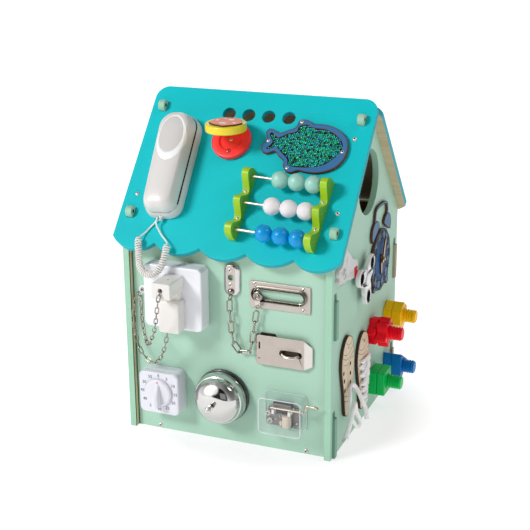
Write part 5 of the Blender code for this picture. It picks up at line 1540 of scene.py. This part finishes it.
parts.append((shift(lathe([(0, 2.6), (2.0, 2.5), (2.6, 1.8), (2.6, 0.0), (0, 0.0)], 24), 50.5, 225.0, 9.0), BRASS))
parts.append((rod(1.2, 4.2, 9.2, 16), BRASS))
shift(parts[-1][0], 50.5, 225.0, 0)
place("clock_face_board", parts, RIGHT, replaces=["clock_face"], smooth=30)
HAND_TOP = raw_wood("hand_birch", (238, 208, 160), (214, 176, 122), (200, 500, 30))


def hand_loop_at(length, wide, lean):
    edge = smooth_path([(0, -6.2, 0), (3.2, -5, 0), (wide, 3, 0), (wide, length * 0.4, 0),
                        (wide * 0.8, length * 0.75, 0), (0.2, length, 0)], 1.2)
    half = [(p.x, p.y) for p in edge]
    loop = half + [(-a, b) for a, b in reversed(half) if a > 0.05]
    c, k = math.cos(lean), math.sin(lean)
    return [(50.5 + a * c + b * k, 225.0 - a * k + b * c) for a, b in loop]


for name, length, wide, lean, w0, w1 in (("hour", 25.0, 3.0, math.pi, 4.7, 6.7),
                                         ("minute", 32.0, 2.8, math.radians(20), 7.0, 9.0)):
    loop = hand_loop_at(length, wide, lean)
    place("clock_%s_hand_wood" % name,
          [(slab([loop, circle(50.5, 225.0, 1.3, 16)], w0, w1, 0.2, 1), HAND_TOP, CLOCK_SIDE, CLOCK_SIDE),
           (slab([loop, inset(loop, 0.5)], w1 - 0.1, w1 + 0.05), CHAR)],
          RIGHT, name + "_hand", ["clock_%s_hand" % name], smooth=30)

# ------------------------------------------------------------------- latch
LATCH_WHITE = plastic("latch_white", srgb(206, 207, 205), 0.4, 0.1, 0.03)
LATCH_RED = painted_wood("latch_red", srgb(214, 16, 28), (300, 300, 300), 0.5, 0.03, 0.03, 0.0, 0.0, 0.1)
LATCH_GREY = metal("latch_screw", srgb(190, 192, 190), 0.34, None, 0.03)
latch = rounded([(-105, 283), (-90, 272.5), (-81, 264.5), (-61.5, 257.5), (-57.0, 247),
                 (-58, 237.6), (-71, 236), (-88, 238), (-108, 243.5), (-115, 241),
                 (-130, 243), (-138.6, 249), (-136.2, 254.6), (-140.5, 260.7),
                 (-136.7, 265.4), (-126.8, 266.8), (-120, 272), (-117, 284), (-111, 291)],
                [4, 2, 2, 3, 3, 3, 2, 2, 1.5, 2, 5, 3, 1, 3, 2, 2, 2, 3, 3], 6)
place("turn_latch_plate",
      [(slab([latch], 0.3, 5.2, 0.35, 2, 60), LATCH_WHITE),
       (slab([rounded(rect(-75.0, -64.6, 237.8, 250.6), 1.0, 4)], 5.0, 5.9, 0.25, 2), LATCH_RED),
       (annulus(7.0, 8.6, 5.0, 5.9, -118.0, 255.0, 0.4), LATCH_WHITE),
       (slab([rounded([(-109, 262), (-96, 258), (-92, 264), (-104, 276)], 2.0, 4)], 5.0, 5.6, 0.25, 2),
        LATCH_WHITE)],
      RIGHT, "latch", ["turn_latch"], smooth=30)
place("latch_screw", [(lathe([(0, 6.3), (1.5, 6.3), (1.8, 6.0), (2.4, 6.0), (2.8, 6.6), (3.8, 6.6), (4.2, 6.1),
                              (4.6, 6.1), (5.0, 6.5), (5.8, 6.1), (6.1, 5.3), (0, 5.25)], 48,
                             False, -118.0, 255.0), LATCH_GREY)], RIGHT, smooth=60)


# -------------------------------------------------------- big nuts and bolts
def polygon(n, r, start):
    return [(r * math.cos(start + 2 * math.pi * k / n), r * math.sin(start + 2 * math.pi * k / n))
            for k in range(n)]


def fluted(name, rgb):
    """Moulded plastic whose sides carry fine ribs along the bolt."""
    m = Mat(name, rgb, 0.42, spec=0.2)
    ribs = m.noise(1.0, 2.0, 0.5, m.scaled(14, 760, 760))
    m.colour(m.tone(m.noise(24.0), 0.95, 1.05))
    m.roughness(m.span(m.noise(300.0), 0.3, 0.7, 0.3, 0.44))
    m.bump(ribs, 0.3, 0.0005)
    return m.mat


def thread(tip, low, r0=8.7, r1=10.0, pitch=3.9, seg=48):
    rings, h = [], low
    while h < tip - 0.01:
        loop = []
        for k in range(seg):
            t = 2 * math.pi * k / seg
            f = ((h - low) / pitch - k / seg) % 1.0
            ridge_at = max(0.0, min(1.0, (0.5 - abs(f - 0.5)) * 5.0 - 0.55))
            r = r1 - (r1 - r0) * (1 - ridge_at)
            if h > tip - 1.9:
                r = min(r, r1 - (h - tip + 1.9) * 1.1)
            loop.append((r * math.cos(t), r * math.sin(t), h))
        rings.append(loop)
        h += 0.5
    rings.append([(x * 0.97, y * 0.97, tip) for x, y, _ in rings[-1]])
    return ringed(rings)


flower = [((18.6 + 2.8 * math.cos(6 * t)) * math.cos(t + 0.3), (18.6 + 2.8 * math.cos(6 * t)) * math.sin(t + 0.3))
          for t in [2 * math.pi * k / 144 for k in range(144)]]
BOLTS = (("yellow", 102.0, 123.0, srgb(255, 200, 0), rounded(polygon(6, 20.5, math.pi / 2), 2.0, 5), 0.0, 27.4, 46.6),
         ("red", 25.5, 124.0, srgb(248, 8, 34), flower, 0.5, 28.0, 47.4),
         ("green", 36.5, 43.8, srgb(0, 196, 92), rounded(polygon(4, 25.4, math.pi / 4), 3.0, 6), 0.0, 24.0, 45.4),
         ("blue", 106.0, 40.5, srgb(0, 118, 198), rounded(polygon(3, 27.5, 0.0), 3.5, 8), 0.0, 28.0, 46.0))
for name, y, z, rgb, loop, spin, nut_top, tip in BOLTS:
    look = fluted(name + "_plastic", rgb)
    at = moved(RIGHT, y, z)
    head = slab([loop], 0.3, 12.5, 1.2, 3, 50)
    turn(head, math.degrees(spin))
    place(name + "_bolt_body", [(head, look), (thread(tip, 12.0), look)], at,
          replaces=[name + "_bolt"], smooth=38)
    nut = slab([loop, circle(0, 0, 10.5, 48)], 13.0, nut_top, 1.1, 3, 50)
    inner_ring = annulus(10.5, 12.6, nut_top - 0.4, nut_top - 0.02 + 0.4, 0, 0, 0.3)
    place(name + "_nut_body", [(nut, look), (inner_ring, look)], at, name + "_nut_body",
          [name + "_nut"], smooth=38)

# ------------------------------------------------------------------- soles
sole = [(4, 59), (17, 51), (24.5, 32), (26, 10), (23, -14), (18, -36), (10, -53), (0, -58),
        (-9, -54), (-13, -40), (-17, -18), (-23, 2), (-27, 20), (-25, 38), (-17, 52), (-6, 59)]
LACE_HOLES = [(9, 16.5), (-19, 12.5), (10, 2), (-16, 0), (10.5, -11.5), (-13, -15), (10, -23.5)]
SOLE_TOP = raw_wood("sole_birch", (228, 210, 182), (204, 180, 146), (300, 500, 24), 0.25, 0.6)
SOLE_SIDE = ply_edge("sole_burnt", (1, 0, 0), (84, 52, 28), (34, 20, 12), 4.6, 0.7)


def engraved(pts, w, wide=0.55):
    fine = smooth_path([(a, b, 0) for a, b in pts], 1.5)
    left, right = [], []
    for i, p in enumerate(fine):
        t = (fine[min(i + 1, len(fine) - 1)] - fine[max(i - 1, 0)]).normalized()
        left.append((p.x - t.y * wide / 2, p.y + t.x * wide / 2))
        right.append((p.x + t.y * wide / 2, p.y - t.x * wide / 2))
    return slab([left + right[::-1]], w - 0.05, w + 0.05)


def sole_parts():
    loop = smooth_loop(sole, 6)
    parts = [(slab([loop] + [circle(a, b, 2.2, 20) for a, b in LACE_HOLES], 0.3, 4.6, 0.35, 2),
              SOLE_TOP, SOLE_SIDE, SOLE_SIDE),
             (slab([inset(loop, 0.2), inset(loop, 1.2)], 4.5, 4.64), SOLE_SIDE)]
    for a, b in LACE_HOLES:
        parts.append((annulus(2.2, 3.0, 4.5, 4.64, a, b, 0, 24), SOLE_SIDE))
    for way in ([(-23, 42), (-10, 35), (4, 34), (21, 40)], [(-24, 36), (-8, 28), (8, 27), (23, 31)],
                [(-20, 24), (-4, 20), (12, 24), (22, 22)], [(-18, -20), (-6, -27), (8, -29), (17, -25)],
                [(-14, -30), (-4, -35), (6, -36), (14, -33)], [(-9, 52), (0, 47), (10, 46), (14, 49)],
                [(-2, 20), (-4, 8), (-2, -6), (-1, -20)], [(2, 20), (4, 8), (3, -6), (4, -20)]):
        parts.append((engraved(way, 4.6), CHAR))
    return parts


for side, y, z in (("front", -91.8, 100.0), ("rear", -22.6, 80.6)):
    place("sole_%s_board" % side, sole_parts(), moved(RIGHT, y, z), replaces=["sole_" + side], smooth=30)
screws("sole_screws", [(-92.4, 141.8, 4.6), (-21.7, 124.1, 4.6)], RIGHT, 2.6, 1.2, 12)
# white lacing laid through the rear board's holes
REAR = moved(RIGHT, -22.6, 80.6)
straps = []
for (a, b), lift in zip(((0, 1), (1, 2), (2, 3), (3, 4), (4, 5), (5, 6), (0, 3), (2, 5)),
                        (0, 1.6, 0, 1.6, 0, 1.6, 3.0, 3.0)):
    p, q = Vector((*LACE_HOLES[a], 0)), Vector((*LACE_HOLES[b], 0))
    d = q - p
    way = [p + Vector((0, 0, 3.2)), p + d * 0.07 + Vector((0, 0, 5.4 + lift * 0.4)),
           p + d * 0.3 + Vector((0, 0, 6.1 + lift)), p + d * 0.7 + Vector((0, 0, 6.1 + lift)),
           p + d * 0.93 + Vector((0, 0, 5.4 + lift * 0.4)), q + Vector((0, 0, 3.2))]
    straps.append((tube(smooth_path(way, 1.2), 2.3, 14, flat=0.6), LACE))
for k in range(12):
    b = 17.0 - 5.8 * k
    far = 24.6 - 0.105 * k * k
    near, lean = -10.5 + 0.45 * k, 2.6 if k % 2 else -1.2
    way = [(near, b - lean, 3.4), (near + 1.2, b - lean, 6.4), (6.0, b, 7.4 + 0.5 * (k % 2)),
           (far - 2.5, b + lean * 0.5, 6.6), (far, b + lean * 0.5, 4.4)]
    straps.append((tube(smooth_path(way, 1.2), 2.6, 14, flat=0.6), LACE))
place("sole_rear_lacing", straps, REAR, smooth=60)

# ------------------------------------------------------------------- stage
def area(name, loc, aim, size, power, colour=(1, 1, 1), size_y=None):
    li = bpy.data.lights.new(name, "AREA")
    li.energy, li.color = power, colour
    li.size = size
    if size_y:
        li.shape, li.size_y = "RECTANGLE", size_y
    ob = bpy.data.objects.new(name, li)
    ob.location = loc
    ob.rotation_euler = (Vector(aim) - Vector(loc)).to_track_quat("-Z", "Y").to_euler()
    bpy.context.scene.collection.objects.link(ob)
    return ob


area("key", (-1.75, -2.4, 2.15), (0, -0.1, 0.3), 0.85, 74.0)
area("front_fill", (0.9, -2.7, 0.9), (0.05, 0, 0.2), 1.2, 1.5)
area("right_fill", (1.75, 0.15, 2.15), (0.12, 0, 0.2), 0.8, 11.0)
area("back_rim", (-0.8, 2.4, 1.6), (0, 0, 0.3), 1.0, 8.0)

# the floor glows: full white away from the house and less near it, a painted ring of shade round the house
FLOOR = Mat("floor_glow_with_painted_shade", (0.35, 0.35, 0.35), 0.8)
FLOOR.colour(FLOOR.tone(FLOOR.noise(3.0), 0.995, 1.0))
away = FLOOR.node("ShaderNodeVectorMath", {0: FLOOR.co, 1: (0.03, -0.02, 0.0)}, operation="DISTANCE")
FLOOR.put(FLOOR.sh.inputs["Emission Color"], (1.0, 1.0, 1.0, 1.0))
FLOOR.put(FLOOR.sh.inputs["Emission Strength"],
          FLOOR.span(away.outputs["Value"], 0.17, 0.26, 0.68, 0.95))
bm = bmesh.new()
bmesh.ops.create_grid(bm, x_segments=4, y_segments=4, size=7.0)
me = bpy.data.meshes.new("floor")
bm.to_mesh(me)
bm.free()
me.materials.append(FLOOR.mat)
floor = bpy.data.objects.new("floor", me)
floor.location = (0, 0, -0.0002)
bpy.context.scene.collection.objects.link(floor)

world = bpy.data.worlds.new("studio")
bpy.context.scene.world = world
world.use_nodes = True
wt = world.node_tree
bg = wt.nodes["Background"]
bg.inputs["Color"].default_value = (1, 1, 1, 1)


def wnode(kind, inputs=None, **attrs):
    n = wt.nodes.new(kind)
    for k, v in attrs.items():
        setattr(n, k, v)
    for k, v in (inputs or {}).items():
        if isinstance(v, bpy.types.NodeSocket):
            wt.links.new(v, n.inputs[k])
        else:
            n.inputs[k].default_value = v
    return n


def toward(way, near, far, low, high, squash=1.0):
    """low inside a cone about the direction, high outside it; squash below 1 makes it tall."""
    flat = wnode("ShaderNodeVectorMath", {0: look, 1: (1.0, 1.0, squash)}, operation="MULTIPLY").outputs[0]
    unit = wnode("ShaderNodeVectorMath", {0: flat}, operation="NORMALIZE").outputs[0]
    aim = Vector((way[0], way[1], way[2] * squash)).normalized()
    d = wnode("ShaderNodeVectorMath", {0: unit, 1: tuple(aim)}, operation="DOT_PRODUCT").outputs["Value"]
    return wnode("ShaderNodeMapRange", {"Value": d, "From Min": far, "From Max": near,
                 "To Min": high, "To Max": low}, interpolation_type="SMOOTHSTEP").outputs[0]


look = wnode("ShaderNodeTexCoord").outputs["Generated"]
path = wnode("ShaderNodeLightPath")
# what shiny parts mirror: a pale studio, the dark camera side and a softbox
up = wnode("ShaderNodeSeparateXYZ", {0: look}).outputs[2]
wall = wnode("ShaderNodeMapRange", {"Value": up, "From Min": 0.0, "From Max": 0.7, "To Min": 1.1,
             "To Max": 0.4}).outputs[0]
dark = wnode("ShaderNodeMath", {0: toward((0.14, -0.96, 0.24), 0.89, 0.83, 0.03, 1.0, 0.6), 1: wall},
             operation="MULTIPLY").outputs[0]
side = wnode("ShaderNodeMath", {0: toward((1.0, 0.35, 0.5), 0.8, 0.3, 0.3, 1.0), 1: dark},
             operation="MULTIPLY").outputs[0]
studio = wnode("ShaderNodeMath", {0: toward((-0.51, -0.67, 0.54), 0.92, 0.84, 1.3, 0.0), 1: side})
plain = wnode("ShaderNodeMix", {0: path.outputs["Is Glossy Ray"], 2: 0.22, 3: studio.outputs[0]})
strength = wnode("ShaderNodeMix", {0: path.outputs["Is Camera Ray"], 2: plain.outputs[0], 3: 1.05})
wt.links.new(strength.outputs[0], bg.inputs["Strength"])
bpy.context.scene.view_settings.view_transform = "Standard"
